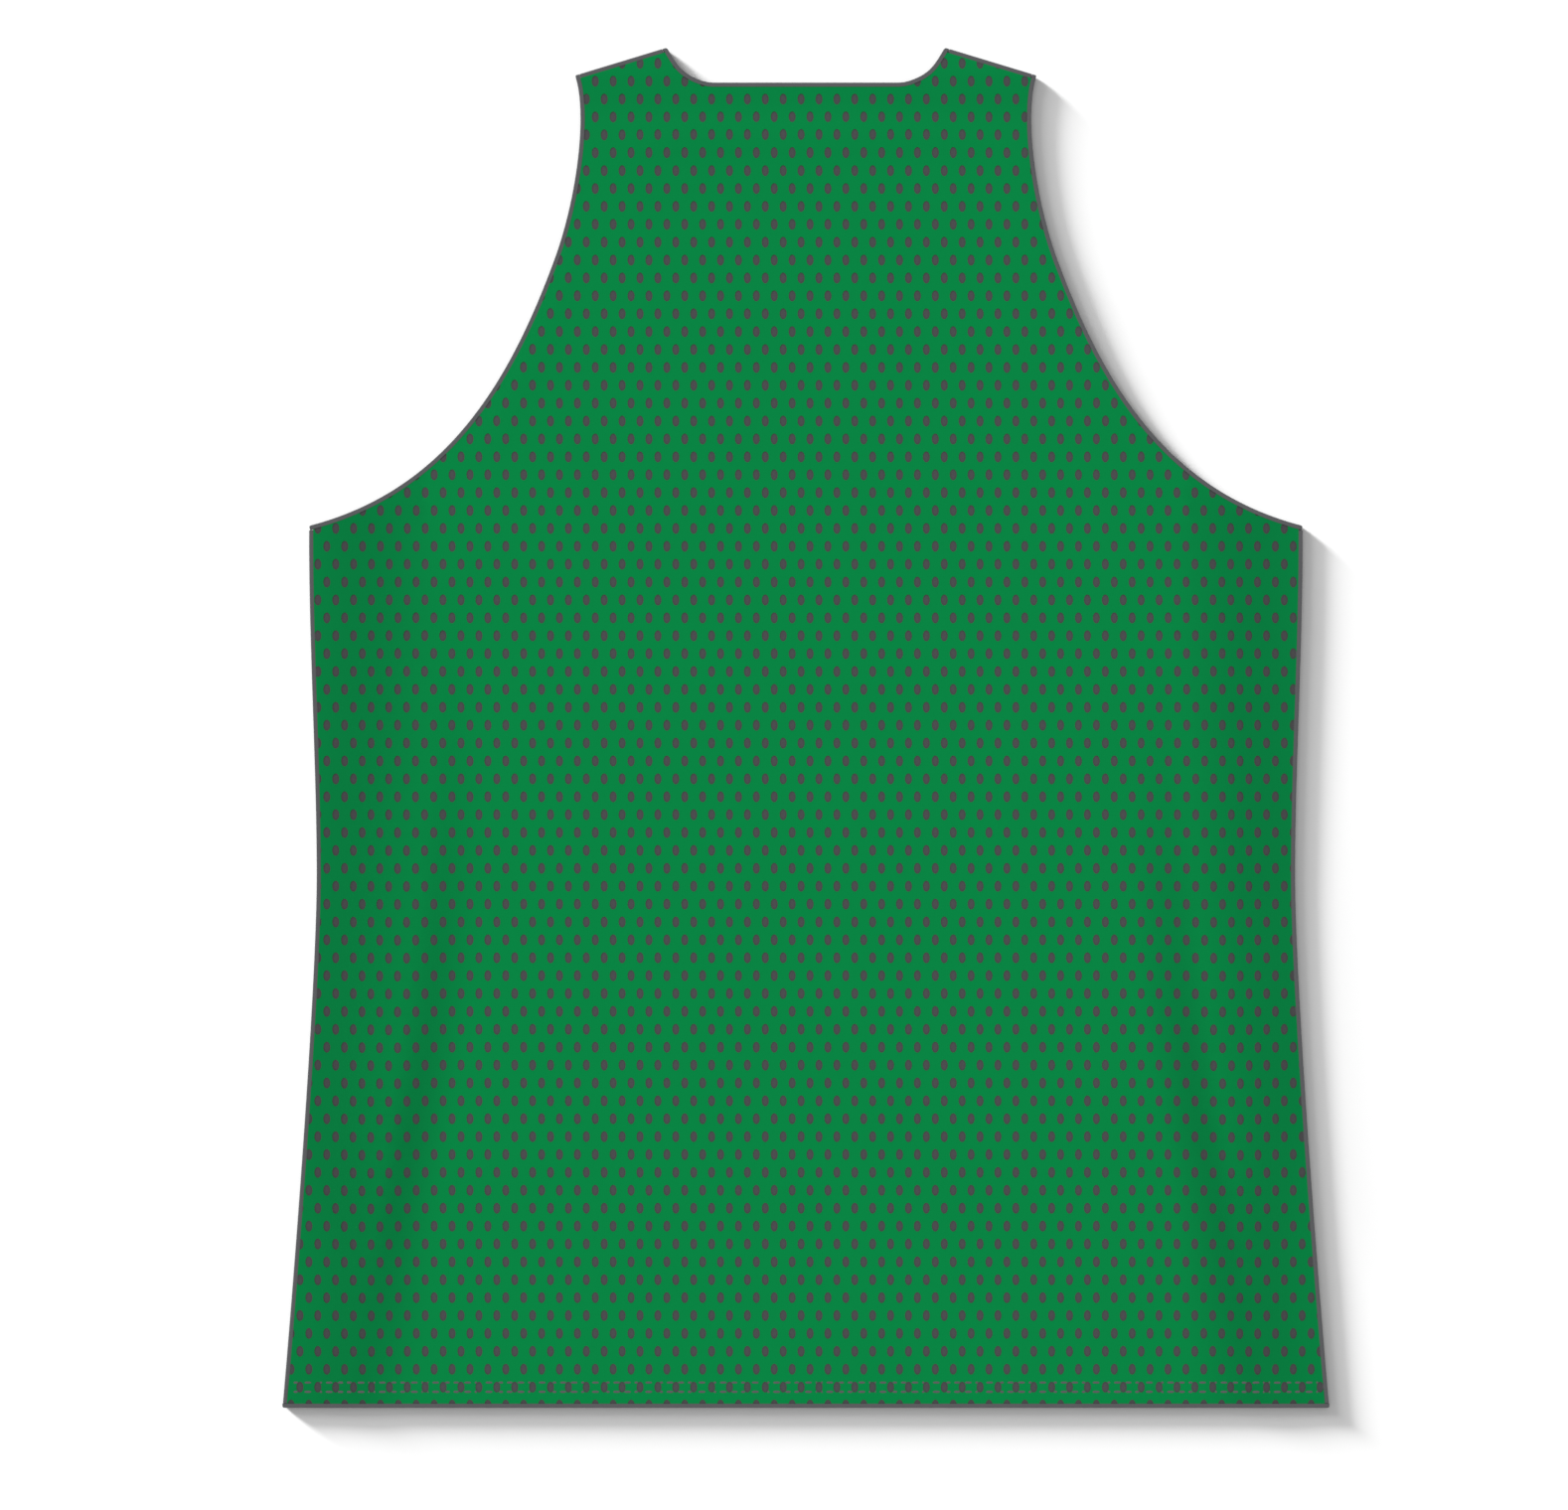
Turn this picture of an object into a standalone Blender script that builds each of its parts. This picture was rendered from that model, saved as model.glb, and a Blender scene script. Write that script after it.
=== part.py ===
"""Basketball jersey laid flat on its front, with the back panel upwards.

Two cloth walls lie on each other: the front panel underneath, on the surface, and the back panel on top.
Narrow bindings run round the neck, the armholes and the hem as folded rings, and narrow pipings close the
side seams and the shoulder seams.

Frame: metres, +Z up, +X to the right and +Y towards the neck. The origin is the middle of the garment, on
the surface that it lies on. Outline sizes are given as a half width from the centre line and a rise above
the hem; every other place is worked out from them.
"""

import math
from collections import namedtuple

import bmesh
import bpy
import numpy as np

MM = 0.001

# Driving sizes of the cut, in metres.
BODY_LENGTH = 0.762
HEM_WIDTH = 0.5863
WAIST_WIDTH = 0.548
WAIST_RISE = 0.2986
CHEST_WIDTH = 0.5565
UNDERARM_RISE = 0.494
SHOULDER_WIDTH = 0.2584
SHOULDER_DROP = 0.0156
NECK_WIDTH = 0.1558
NECK_FLAT_WIDTH = 0.1094
BACK_NECK_DROP = 0.0197
FRONT_NECK_DROP = 0.105
FRONT_ARMHOLE_HOLLOW = 0.008

# Cloth, seams and edge trims. The panels stop short of the outline by the trim and the gap to it.
CLOTH = 1.4 * MM
SEAM_GAP = 0.3 * MM
TRIM_WIDTH = 2.4 * MM
TRIM_CHAMFER = 0.4 * MM
PIPING_CHAMFER = 0.8 * MM
PANEL_INSET = TRIM_WIDTH + SEAM_GAP
BACK_FLOOR = CLOTH + SEAM_GAP
STACK = BACK_FLOOR + CLOTH

# How far a piping stops from the corner that it runs to, just clear of the binding there.
PIPING_STOPS = {"hem": 2.9 * MM, "underarm": 2.7 * MM, "tip": 2.8 * MM, "neck": 3.1 * MM}

# How many steps each stretch of the outline has. The rows of a panel end on the steps of the side and the
# armhole, and its columns on those of the neck and the shoulder.
SIDE_STEPS = 12
LOWER_ARMHOLE_STEPS = 13
UPPER_ARMHOLE_STEPS = 7
BACK_NECK_CURVE_STEPS = 5
BACK_NECK_FLAT_STEPS = 3
NECK_STEPS = BACK_NECK_CURVE_STEPS + BACK_NECK_FLAT_STEPS
FOLD_TURN_STEPS = 4
FOLD_SAMPLES = 80

# Up to this many steps of the armhole the rows lie level, and above them they bend to the neck.
FRONT_LEVEL_STEPS = 9
BACK_LEVEL_STEPS = 15

# Columns of a panel as shares of its half width, crowded where the long side folds run.
COLUMN_SHARES = (
    0, 0.15, 0.29, 0.42, 0.53, 0.61, 0.665, 0.705, 0.74, 0.77, 0.80, 0.83, 0.86, 0.89, 0.92, 0.955, 1,
)

# The outline's curves, each from its start to its end with the two points that pull it, as a half width
# and a rise.
Curve = namedtuple("Curve", "start start_pull end_pull end")
HEM_CORNER = (HEM_WIDTH / 2, 0.0)
WAIST = (WAIST_WIDTH / 2, WAIST_RISE)
UNDERARM = (CHEST_WIDTH / 2, UNDERARM_RISE)
ARMHOLE_MIDDLE = (0.1405, 0.644)
SHOULDER_TIP = (SHOULDER_WIDTH / 2, BODY_LENGTH - SHOULDER_DROP)
NECK_CORNER = (NECK_WIDTH / 2, BODY_LENGTH)
BACK_NECK_FLAT_END = (NECK_FLAT_WIDTH / 2, BODY_LENGTH - BACK_NECK_DROP)
BACK_NECK_CENTRE = (0.0, BODY_LENGTH - BACK_NECK_DROP)
FRONT_NECK_CENTRE = (0.0, BODY_LENGTH - FRONT_NECK_DROP)
LOWER_SIDE = Curve(HEM_CORNER, (0.2861, 0.0804), (0.2740, 0.2390), WAIST)
UPPER_SIDE = Curve(WAIST, (0.2740, 0.3590), (0.2786, 0.4312), UNDERARM)
LOWER_ARMHOLE = Curve(UNDERARM, (0.2022, 0.5137), (0.1662, 0.5735), ARMHOLE_MIDDLE)
UPPER_ARMHOLE = Curve(ARMHOLE_MIDDLE, (0.1290, 0.6756), (0.1218, 0.7237), SHOULDER_TIP)
BACK_NECK = Curve(NECK_CORNER, (0.0713, 0.7508), (0.0693, 0.7464), BACK_NECK_FLAT_END)
FRONT_NECK = Curve(NECK_CORNER, (0.0700, 0.7200), (0.0560, FRONT_NECK_CENTRE[1]), FRONT_NECK_CENTRE)

# The largest folds, on the right side and mirrored to the left. Each is a rounded ridge whose crest starts
# at start, is pulled by middle and stops at end. It falls away over the inner and the outer reach, each
# given at its start and its end, raises both panels by lift and the back panel by puff more, and swells and
# sinks over fade_in and fade_out of its length.
Fold = namedtuple("Fold", "start middle end inner outer lift puff fade_in fade_out")
SIDE_FOLD = Fold(
    start=(0.214, 0.492), middle=(0.216, 0.290), end=(0.260, -0.030),
    inner=(0.034, 0.024), outer=(0.058, 0.026), lift=0.0024, puff=0.0031, fade_in=0.25, fade_out=0.35,
)
ARMHOLE_FOLD = Fold(
    start=(0.195, 0.515), middle=(0.146, 0.585), end=(0.118, 0.690),
    inner=(0.017, 0.015), outer=(0.013, 0.010), lift=0.0, puff=0.0016, fade_in=0.30, fade_out=0.35,
)
YOKE_FOLD = Fold(
    start=(0.000, 0.714), middle=(0.060, 0.714), end=(0.118, 0.706),
    inner=(0.019, 0.014), outer=(0.019, 0.014), lift=0.0, puff=0.0018, fade_in=0.0, fade_out=0.40,
)
FOLDS = (SIDE_FOLD, ARMHOLE_FOLD, YOKE_FOLD)

CLOTH_GREEN = (0.0009, 0.2346, 0.0561, 1.0)
TRIM_CHARCOAL = (0.0976, 0.0998, 0.1046, 1.0)
UP = np.array([0.0, 0.0, 1.0])


def clear_scene():
    """Removes the objects that the scene starts with."""
    for obj in list(bpy.data.objects):
        bpy.data.objects.remove(obj, do_unlink=True)


def material(name, colour, roughness):
    """A cloth material of one colour."""
    made = bpy.data.materials.new(name)
    made.use_nodes = True
    shader = made.node_tree.nodes["Principled BSDF"]
    shader.inputs["Base Color"].default_value = colour
    shader.inputs["Roughness"].default_value = roughness
    shader.inputs["Metallic"].default_value = 0.0
    return made


def bezier(curve, steps):
    """The points of a cubic curve from its start to its end, steps + 1 of them."""
    start, start_pull, end_pull, end = (np.array(point) for point in curve)
    t = np.linspace(0, 1, steps + 1)[:, None]
    rest = 1 - t
    return rest**3 * start + 3 * rest**2 * t * start_pull + 3 * rest * t**2 * end_pull + t**3 * end


def joined(*lines):
    """Lines that follow each other as one line, with each point where two meet kept once."""
    return np.concatenate([lines[0]] + [line[1:] for line in lines[1:]])


def along(line):
    """The distance from a line's first point to each of its points."""
    return np.concatenate([[0], np.cumsum(np.linalg.norm(np.diff(line, axis=0), axis=1))])


def point_at(line, distance):
    """The point of a line at a distance from its start."""
    return np.array([np.interp(distance, along(line), line[:, axis]) for axis in range(2)])


def shortened(line, start_cut, end_cut):
    """A line with its ends cut back, and its other points as they were."""
    distance = along(line)
    end = distance[-1] - end_cut
    kept = line[(distance > start_cut) & (distance < end)]
    return np.vstack([point_at(line, start_cut), kept, point_at(line, end)])


def mirrored(line):
    """A line of the right side as it is on the left, run the other way."""
    return (line * np.array([-1.0, 1.0]))[::-1]


def moved_in(line, distance, meets_mirror=False):
    """A line moved to its left by a distance, point by point, so that each stretch stays parallel.

    A line that meets_mirror has both its ends on the centre line, where its mirror image carries on.
    """
    stretch = np.diff(line, axis=0)
    stretch /= np.linalg.norm(stretch, axis=1)[:, None]
    normal = np.stack([-stretch[:, 1], stretch[:, 0]], axis=1)
    flip = np.array([-1.0, 1.0]) if meets_mirror else np.ones(2)
    before = np.vstack([normal[:1] * flip, normal])
    after = np.vstack([normal, normal[-1:] * flip])
    bisector = before + after
    bisector /= np.linalg.norm(bisector, axis=1)[:, None]
    return line + bisector * (distance / (bisector * after).sum(axis=1))[:, None]


class Outline:
    """The right half of a panel's finished edge, in runs that follow each other, the cloth on their left."""

    def __init__(self, neck, hollow):
        self.side = joined(bezier(LOWER_SIDE, SIDE_STEPS), bezier(UPPER_SIDE, SIDE_STEPS))
        self.armhole = joined(
            bezier(LOWER_ARMHOLE, LOWER_ARMHOLE_STEPS), bezier(UPPER_ARMHOLE, UPPER_ARMHOLE_STEPS)
        )
        share = along(self.armhole) / along(self.armhole)[-1]
        self.armhole[:, 0] -= hollow * np.sin(math.pi * share) ** 2
        self.shoulder = np.array([SHOULDER_TIP, NECK_CORNER])
        self.neck = neck

    def cloth_edge(self):
        """The panel's own edge inside its trims: hem corner to shoulder tip, and shoulder tip to neck."""
        hem = np.array([(0.0, 0.0), HEM_CORNER])
        whole = joined(hem, self.side, self.armhole, self.shoulder, self.neck)
        edge = moved_in(whole, PANEL_INSET, meets_mirror=True)[1:]
        tip = len(self.side) + len(self.armhole) - 1
        return edge[:tip], edge[tip - 1 :]


def fold_strength(fold, points):
    """How strongly a fold raises each point, from 0 beyond its reach to 1 on its crest."""
    t = np.linspace(0, 1, FOLD_SAMPLES)[:, None]
    start, middle, end = (np.array(point) for point in (fold.start, fold.middle, fold.end))
    crest = (1 - t) ** 2 * start + 2 * t * (1 - t) * middle + t**2 * end
    right = np.stack([np.abs(points[:, 0]), points[:, 1]], axis=1)
    away = np.linalg.norm(right[:, None] - crest[None], axis=2)
    nearest = away.argmin(axis=1)
    share = nearest / (FOLD_SAMPLES - 1)
    inner, outer = (start + share * (end - start) for start, end in (fold.inner, fold.outer))
    reach = np.where(right[:, 0] > crest[nearest, 0], outer, inner)
    ridge = 0.5 + 0.5 * np.cos(math.pi * np.minimum(away.min(axis=1) / reach, 1))
    swell = np.minimum(share / fold.fade_in, 1) if fold.fade_in else 1.0
    sink = np.minimum((1 - share) / fold.fade_out, 1) if fold.fade_out else 1.0
    ends = swell * sink
    return ridge * ends**2 * (3 - 2 * ends)


def front_height(points):
    """The height of the front panel's underside at each point."""
    return sum(fold.lift * fold_strength(fold, points) for fold in FOLDS)


def back_height(points):
    """The height of the back panel's underside at each point."""
    puff = sum(fold.puff * fold_strength(fold, points) for fold in FOLDS)
    return BACK_FLOOR + front_height(points) + puff


def in_frame(points, heights):
    """Half widths and rises with their heights, as points of the part's own frame."""
    return np.column_stack([points[:, 0], points[:, 1] - BODY_LENGTH / 2, heights])


def both_sides(shares):
    """Shares of the half width from the left edge, below 0, to the right edge, above 0."""
    return np.array([-share for share in shares[:0:-1]] + list(shares))


def panel_rows(outline, level_steps):
    """The rows of a panel from hem to neck, each with a point for every column.

    A row lies level as far as level_steps up the armhole. Above, the rows bend between that level, the
    armhole's edge, and the line of the neck and the shoulders.
    """
    edge, top = outline.cloth_edge()
    shares = both_sides(COLUMN_SHARES)
    yoke = len(outline.side) + level_steps - 1
    across = np.outer(edge[: yoke + 1, 0], shares)
    level = np.stack([across, np.broadcast_to(edge[: yoke + 1, 1:], across.shape)], axis=2)

    tip, corner = top[:2]
    shoulder_steps = len(COLUMN_SHARES) - 1 - NECK_STEPS
    half = np.vstack([top[:0:-1], np.linspace(corner, tip, shoulder_steps + 1)[1:]])
    last = np.vstack([mirrored(half)[:-1], half])

    above = edge[yoke + 1 :]
    share = (above[:, 1:] - edge[yoke, 1]) / (edge[-1, 1] - edge[yoke, 1])
    bent = (1 - share[..., None]) * level[-1] + share[..., None] * last
    straight_edge = (1 - share) * edge[yoke, 0] + share * edge[-1, 0]
    bent[..., 0] += (above[:, :1] - straight_edge) * shares
    return np.concatenate([level, bent])


def add_object(name, bm, look):
    """Puts a finished bmesh into the scene as a named object, shaded smooth but for its sharp edges."""
    bmesh.ops.recalc_face_normals(bm, faces=bm.faces)
    mesh = bpy.data.meshes.new(name)
    bm.to_mesh(mesh)
    bm.free()
    mesh.shade_smooth()
    mesh.set_sharp_from_angle(angle=math.radians(40))
    mesh.materials.append(look)
    obj = bpy.data.objects.new(name, mesh)
    bpy.context.scene.collection.objects.link(obj)


def wall(name, rows, height, look):
    """A cloth wall over rows of points: its underside at their height, extruded up by the cloth."""
    columns = rows.shape[1]
    flat = rows.reshape(-1, 2)
    bm = bmesh.new()
    verts = [bm.verts.new(place) for place in in_frame(flat, height(flat))]
    for first in range(0, len(verts) - columns, columns):
        for k in range(first, first + columns - 1):
            bm.faces.new((verts[k], verts[k + 1], verts[k + 1 + columns], verts[k + columns]))
    bmesh.ops.triangulate(bm, faces=bm.faces[:], quad_method="FIXED")
    extruded = bmesh.ops.extrude_face_region(bm, geom=bm.faces[:], use_keep_orig=True)["geom"]
    upper = [item for item in extruded if isinstance(item, bmesh.types.BMVert)]
    bmesh.ops.translate(bm, verts=upper, vec=UP * CLOTH)
    add_object(name, bm, look)


def loft(name, sections, look, closed):
    """A solid through sections of equally many points, closed into a ring or capped at both ends."""
    bm = bmesh.new()
    loops = [[bm.verts.new(place) for place in section] for section in sections]
    pairs = list(zip(loops, loops[1:]))
    if closed:
        pairs.append((loops[-1], loops[0]))
    else:
        bm.faces.new(loops[0])
        bm.faces.new(loops[-1])
    for first, second in pairs:
        for k in range(len(first)):
            after = (k + 1) % len(first)
            bm.faces.new((first[k], first[after], second[after], second[k]))
    add_object(name, bm, look)


def trim_sections(line, heights, profile, upward):
    """The sections of a trim that lies inside a line, each with the profile's places across and up it."""
    inner = moved_in(line, TRIM_WIDTH)
    outward = np.column_stack([line - inner, np.zeros(len(line))]) / TRIM_WIDTH
    centre = in_frame((line + inner) / 2, heights)
    return np.stack([centre + across * outward + up * upward for across, up in profile], axis=1)


def binding_profile():
    """The corners of a binding's section on one panel, with the edge that shows cut off."""
    side, top = TRIM_WIDTH / 2, CLOTH / 2
    inner, low = side - TRIM_CHAMFER, top - TRIM_CHAMFER
    return ((-side, -top), (side, -top), (side, low), (inner, top), (-side, top))


def piping_profile():
    """The corners of a piping's section, an eight-sided bar as high as both panels."""
    side, top = TRIM_WIDTH / 2, STACK / 2
    inner, low = side - PIPING_CHAMFER, top - PIPING_CHAMFER
    quarter = [(side, low), (inner, top)]
    upper = quarter + [(-across, up) for across, up in reversed(quarter)]
    return upper + [(-across, -up) for across, up in upper]


def fold_over(first, last, ahead):
    """The sections that carry a binding from one panel's edge round to the other's, bulging ahead."""
    middle, half = (first + last) / 2, (first - last) / 2
    turns = [math.pi * step / FOLD_TURN_STEPS for step in range(1, FOLD_TURN_STEPS)]
    ahead = np.append(ahead / np.linalg.norm(ahead), 0.0)
    return [middle + half * math.cos(turn) + np.abs(half[:, 2:]) * math.sin(turn) * ahead for turn in turns]


def binding_ring(name, back_line, front_line, look):
    """A binding sewn round an opening that lies flat: along the back's edge, over, and along the front's."""
    back_line = shortened(back_line, STACK / 2, STACK / 2)
    front_line = shortened(front_line, STACK / 2, STACK / 2)
    back_middle = (back_line + moved_in(back_line, TRIM_WIDTH)) / 2
    front_middle = (front_line + moved_in(front_line, TRIM_WIDTH)) / 2
    profile = binding_profile()
    over = trim_sections(back_line, back_height(back_middle) + CLOTH / 2, profile, UP)
    under = trim_sections(front_line, front_height(front_middle) + CLOTH / 2, profile, -UP)[::-1]
    at_end = fold_over(over[-1], under[0], back_line[-1] - back_line[-2])
    at_start = fold_over(under[-1], over[0], back_line[0] - back_line[1])
    loft(name, [*over, *at_end, *under, *at_start], look, closed=True)


def piping(name, line, look):
    """A piping caught in a seam that lies flat, with both its ends closed."""
    heights = np.full(len(line), STACK / 2)
    loft(name, trim_sections(line, heights, piping_profile(), UP), look, closed=False)


def main():
    """Makes the two panels, the four bindings and the four pipings."""
    clear_scene()
    green = material("cloth_green", CLOTH_GREEN, 0.75)
    charcoal = material("trim_charcoal", TRIM_CHARCOAL, 0.7)

    flat_neck = np.linspace(BACK_NECK_FLAT_END, BACK_NECK_CENTRE, BACK_NECK_FLAT_STEPS + 1)
    back = Outline(joined(bezier(BACK_NECK, BACK_NECK_CURVE_STEPS), flat_neck), hollow=0.0)
    front = Outline(bezier(FRONT_NECK, NECK_STEPS), hollow=FRONT_ARMHOLE_HOLLOW)
    wall("front_panel", panel_rows(front, FRONT_LEVEL_STEPS), front_height, green)
    wall("back_panel", panel_rows(back, BACK_LEVEL_STEPS), back_height, green)

    hem = np.outer(both_sides(COLUMN_SHARES), HEM_CORNER)
    neck_lines = [joined(outline.neck, mirrored(outline.neck)) for outline in (back, front)]
    binding_ring("neck_binding", *neck_lines, charcoal)
    binding_ring("hem_binding", hem, hem, charcoal)

    side = shortened(back.side, PIPING_STOPS["hem"], PIPING_STOPS["underarm"])
    shoulder = shortened(back.shoulder, PIPING_STOPS["tip"], PIPING_STOPS["neck"])
    for suffix, placed in (("right", np.array), ("left", mirrored)):
        binding_ring(f"armhole_binding_{suffix}", placed(back.armhole), placed(front.armhole), charcoal)
        piping(f"side_piping_{suffix}", placed(side), charcoal)
        piping(f"shoulder_piping_{suffix}", placed(shoulder), charcoal)


main()
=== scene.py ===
"""Looks of the basketball jersey that lies flat on its front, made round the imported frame.

Units are metres, in the frame's own axes: +X to the right, +Y towards the neck, +Z up. The cloth's cut is
written as half widths from the centre line and rises above the hem, as a cutter would measure it, and the
frame gives the hem's place. Each panel has two plies: a green eyelet mesh outside, and a charcoal knit
inside it that shows through the eyelets.
"""

import logging
import math
from dataclasses import dataclass
from enum import Enum

import bmesh
import bpy
import numpy as np
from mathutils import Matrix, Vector
from mathutils.geometry import delaunay_2d_cdt


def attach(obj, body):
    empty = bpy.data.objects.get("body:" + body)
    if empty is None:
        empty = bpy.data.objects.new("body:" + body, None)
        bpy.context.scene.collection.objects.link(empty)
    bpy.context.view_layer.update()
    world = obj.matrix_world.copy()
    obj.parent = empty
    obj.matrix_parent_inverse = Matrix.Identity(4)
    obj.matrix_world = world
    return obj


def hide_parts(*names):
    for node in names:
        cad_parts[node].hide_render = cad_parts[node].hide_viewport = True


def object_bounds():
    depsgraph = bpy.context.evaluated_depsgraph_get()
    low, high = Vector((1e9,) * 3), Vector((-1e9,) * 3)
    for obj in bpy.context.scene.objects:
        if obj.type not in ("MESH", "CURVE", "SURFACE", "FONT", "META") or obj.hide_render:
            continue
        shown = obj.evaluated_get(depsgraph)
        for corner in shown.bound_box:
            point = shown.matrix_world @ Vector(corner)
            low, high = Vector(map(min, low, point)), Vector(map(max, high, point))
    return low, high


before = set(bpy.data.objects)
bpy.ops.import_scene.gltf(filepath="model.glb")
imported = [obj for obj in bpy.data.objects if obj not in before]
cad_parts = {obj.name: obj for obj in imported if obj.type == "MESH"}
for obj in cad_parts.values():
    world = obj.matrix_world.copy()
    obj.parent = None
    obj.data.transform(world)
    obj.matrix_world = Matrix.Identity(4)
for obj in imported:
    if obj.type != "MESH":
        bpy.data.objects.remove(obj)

log = logging.getLogger("jersey")

MM = 0.001
UP = np.array([0.0, 0.0, 1.0])
CAD_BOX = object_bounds()
HEM_Y = CAD_BOX[0].y
SHARP_EDGE = math.radians(40)
NO_POINTS = np.zeros((0, 2))
NO_OVALS = np.zeros((0, 3, 2))
WHOLE_HULL = 0
SAME_POINT = 1e-4
Point = tuple[float, float]
Span = tuple[float, float]
Colour = tuple[float, float, float]
Socket = bpy.types.NodeSocket
Material = bpy.types.Material
Piece = bpy.types.Object


class Layer(Enum):
    """Which of the two panels a piece belongs to, as they lie on each other."""

    BACK = "back"
    FRONT = "front"


class Edge(Enum):
    """How a stretch of a panel's outline is finished."""

    BOUND = "bound"
    PIPED = "piped"


# ---------------------------------------------------------------------------------------------------------
# Lines in the flat
# ---------------------------------------------------------------------------------------------------------


def cubic(points: tuple[Point, Point, Point, Point], steps: int) -> np.ndarray:
    """Points of a cubic curve.

    Formula: the four Bernstein weights of t, from 0 to 1 in equal steps, times the four given points.

    Args:
        points: The start, the two points that pull the curve, and the end.
        steps: How many stretches the curve is cut into.

    Returns:
        An array of steps + 1 points.
    """
    start, start_pull, end_pull, end = (np.array(point) for point in points)
    t = np.linspace(0, 1, steps + 1)[:, None]
    rest = 1 - t
    return rest**3 * start + 3 * rest**2 * t * start_pull + 3 * rest * t**2 * end_pull + t**3 * end


def joined(*lines: np.ndarray) -> np.ndarray:
    """Lines that follow each other as one line, each shared point kept once."""
    return np.concatenate([lines[0]] + [line[1:] for line in lines[1:]])


def bent(
    ends: tuple[Point, ...], pulls: tuple[Point, ...], steps: tuple[int, ...] = (60, 40)
) -> np.ndarray:
    """Cubic curves that follow each other.

    Args:
        ends: The points that they run through.
        pulls: The two points that pull each curve, curve by curve.
        steps: How many stretches each curve is cut into.

    Returns:
        The points of the whole line.
    """
    curves = zip(ends, pulls[::2], pulls[1::2], ends[1:])
    return joined(*(cubic(points, count) for points, count in zip(curves, steps)))


def along(line: np.ndarray) -> np.ndarray:
    """The distance from a line's first point to each of its points."""
    return np.concatenate([[0], np.cumsum(np.linalg.norm(np.diff(line, axis=0), axis=1))])


def even(line: np.ndarray, spacing: float) -> np.ndarray:
    """A line cut again into equal stretches.

    Formula: linear interpolation of the line's points over its length.

    Args:
        line: The points of the line.
        spacing: About how long a stretch is to be.

    Returns:
        The new points, with both ends kept.
    """
    length = along(line)
    where = np.linspace(0, length[-1], max(2, round(length[-1] / spacing)) + 1)
    return np.stack([np.interp(where, length, line[:, axis]) for axis in range(line.shape[1])], axis=1)


def trimmed(line: np.ndarray, start_cut: float, end_cut: float) -> np.ndarray:
    """A line with a distance cut off each end.

    Formula: the new ends are interpolated over the line's length, and the points between them stay.

    Args:
        line: The points of the line.
        start_cut: How much goes at its start.
        end_cut: How much goes at its end.

    Returns:
        The points that are left.
    """
    length = along(line)
    ends = (start_cut, length[-1] - end_cut)
    tips = [[np.interp(end, length, line[:, axis]) for axis in range(2)] for end in ends]
    kept = line[(length > ends[0]) & (length < ends[1])]
    return np.vstack([tips[:1], kept, tips[1:]])


def mirrored(line: np.ndarray) -> np.ndarray:
    """A line of the right side as it is on the left, run the other way."""
    return (line * np.array([-1.0, 1.0]))[::-1]


def moved_in(line: np.ndarray, distance: float) -> np.ndarray:
    """A line moved to its left, so that each stretch stays parallel to what it was.

    Formula: each point moves along the bisector of its two stretches' normals, by the distance over the
    cosine of half the angle between them.

    Args:
        line: The points of the line.
        distance: How far it moves.

    Returns:
        As many points, moved.
    """
    stretch = np.diff(line, axis=0)
    stretch /= np.linalg.norm(stretch, axis=1)[:, None]
    normal = np.stack([-stretch[:, 1], stretch[:, 0]], axis=1)
    before = np.vstack([normal[:1], normal])
    after = np.vstack([normal, normal[-1:]])
    bisector = before + after
    bisector /= np.linalg.norm(bisector, axis=1)[:, None]
    return line + bisector * (distance / (bisector * after).sum(axis=1))[:, None]


def met(first: np.ndarray, second: np.ndarray) -> tuple[np.ndarray, np.ndarray]:
    """Two lines with the first's last point and the second's first point moved to where they cross.

    Formula: the two end stretches, carried on as straight lines, are solved for their common point.

    Args:
        first: The line that ends there.
        second: The line that starts there.

    Returns:
        Both lines, each with its end moved.
    """
    a, b = first[-1] - first[-2], second[1] - second[0]
    share = np.linalg.solve(np.stack([a, -b], axis=1), second[0] - first[-2])[0]
    corner = first[-2] + share * a
    return np.vstack([first[:-1], corner]), np.vstack([corner, second[1:]])


def inside(points: np.ndarray, loop: np.ndarray) -> np.ndarray:
    """Which points lie inside a closed loop.

    Formula: a point is inside if a ray from it along +X crosses the loop an odd number of times.

    Args:
        points: The points to test.
        loop: The loop's corners, the last joined to the first.

    Returns:
        A true or false for each point.
    """
    odd = np.zeros(len(points), bool)
    x, y = points[:, 0], points[:, 1]
    for (ax, ay), (bx, by) in zip(loop, np.roll(loop, -1, axis=0)):
        crosses = (ay > y) != (by > y)
        odd[crosses] ^= x[crosses] < (bx - ax) * (y[crosses] - ay) / (by - ay) + ax
    return odd


# ---------------------------------------------------------------------------------------------------------
# The cut, the folds and the eyelets
# ---------------------------------------------------------------------------------------------------------


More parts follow.
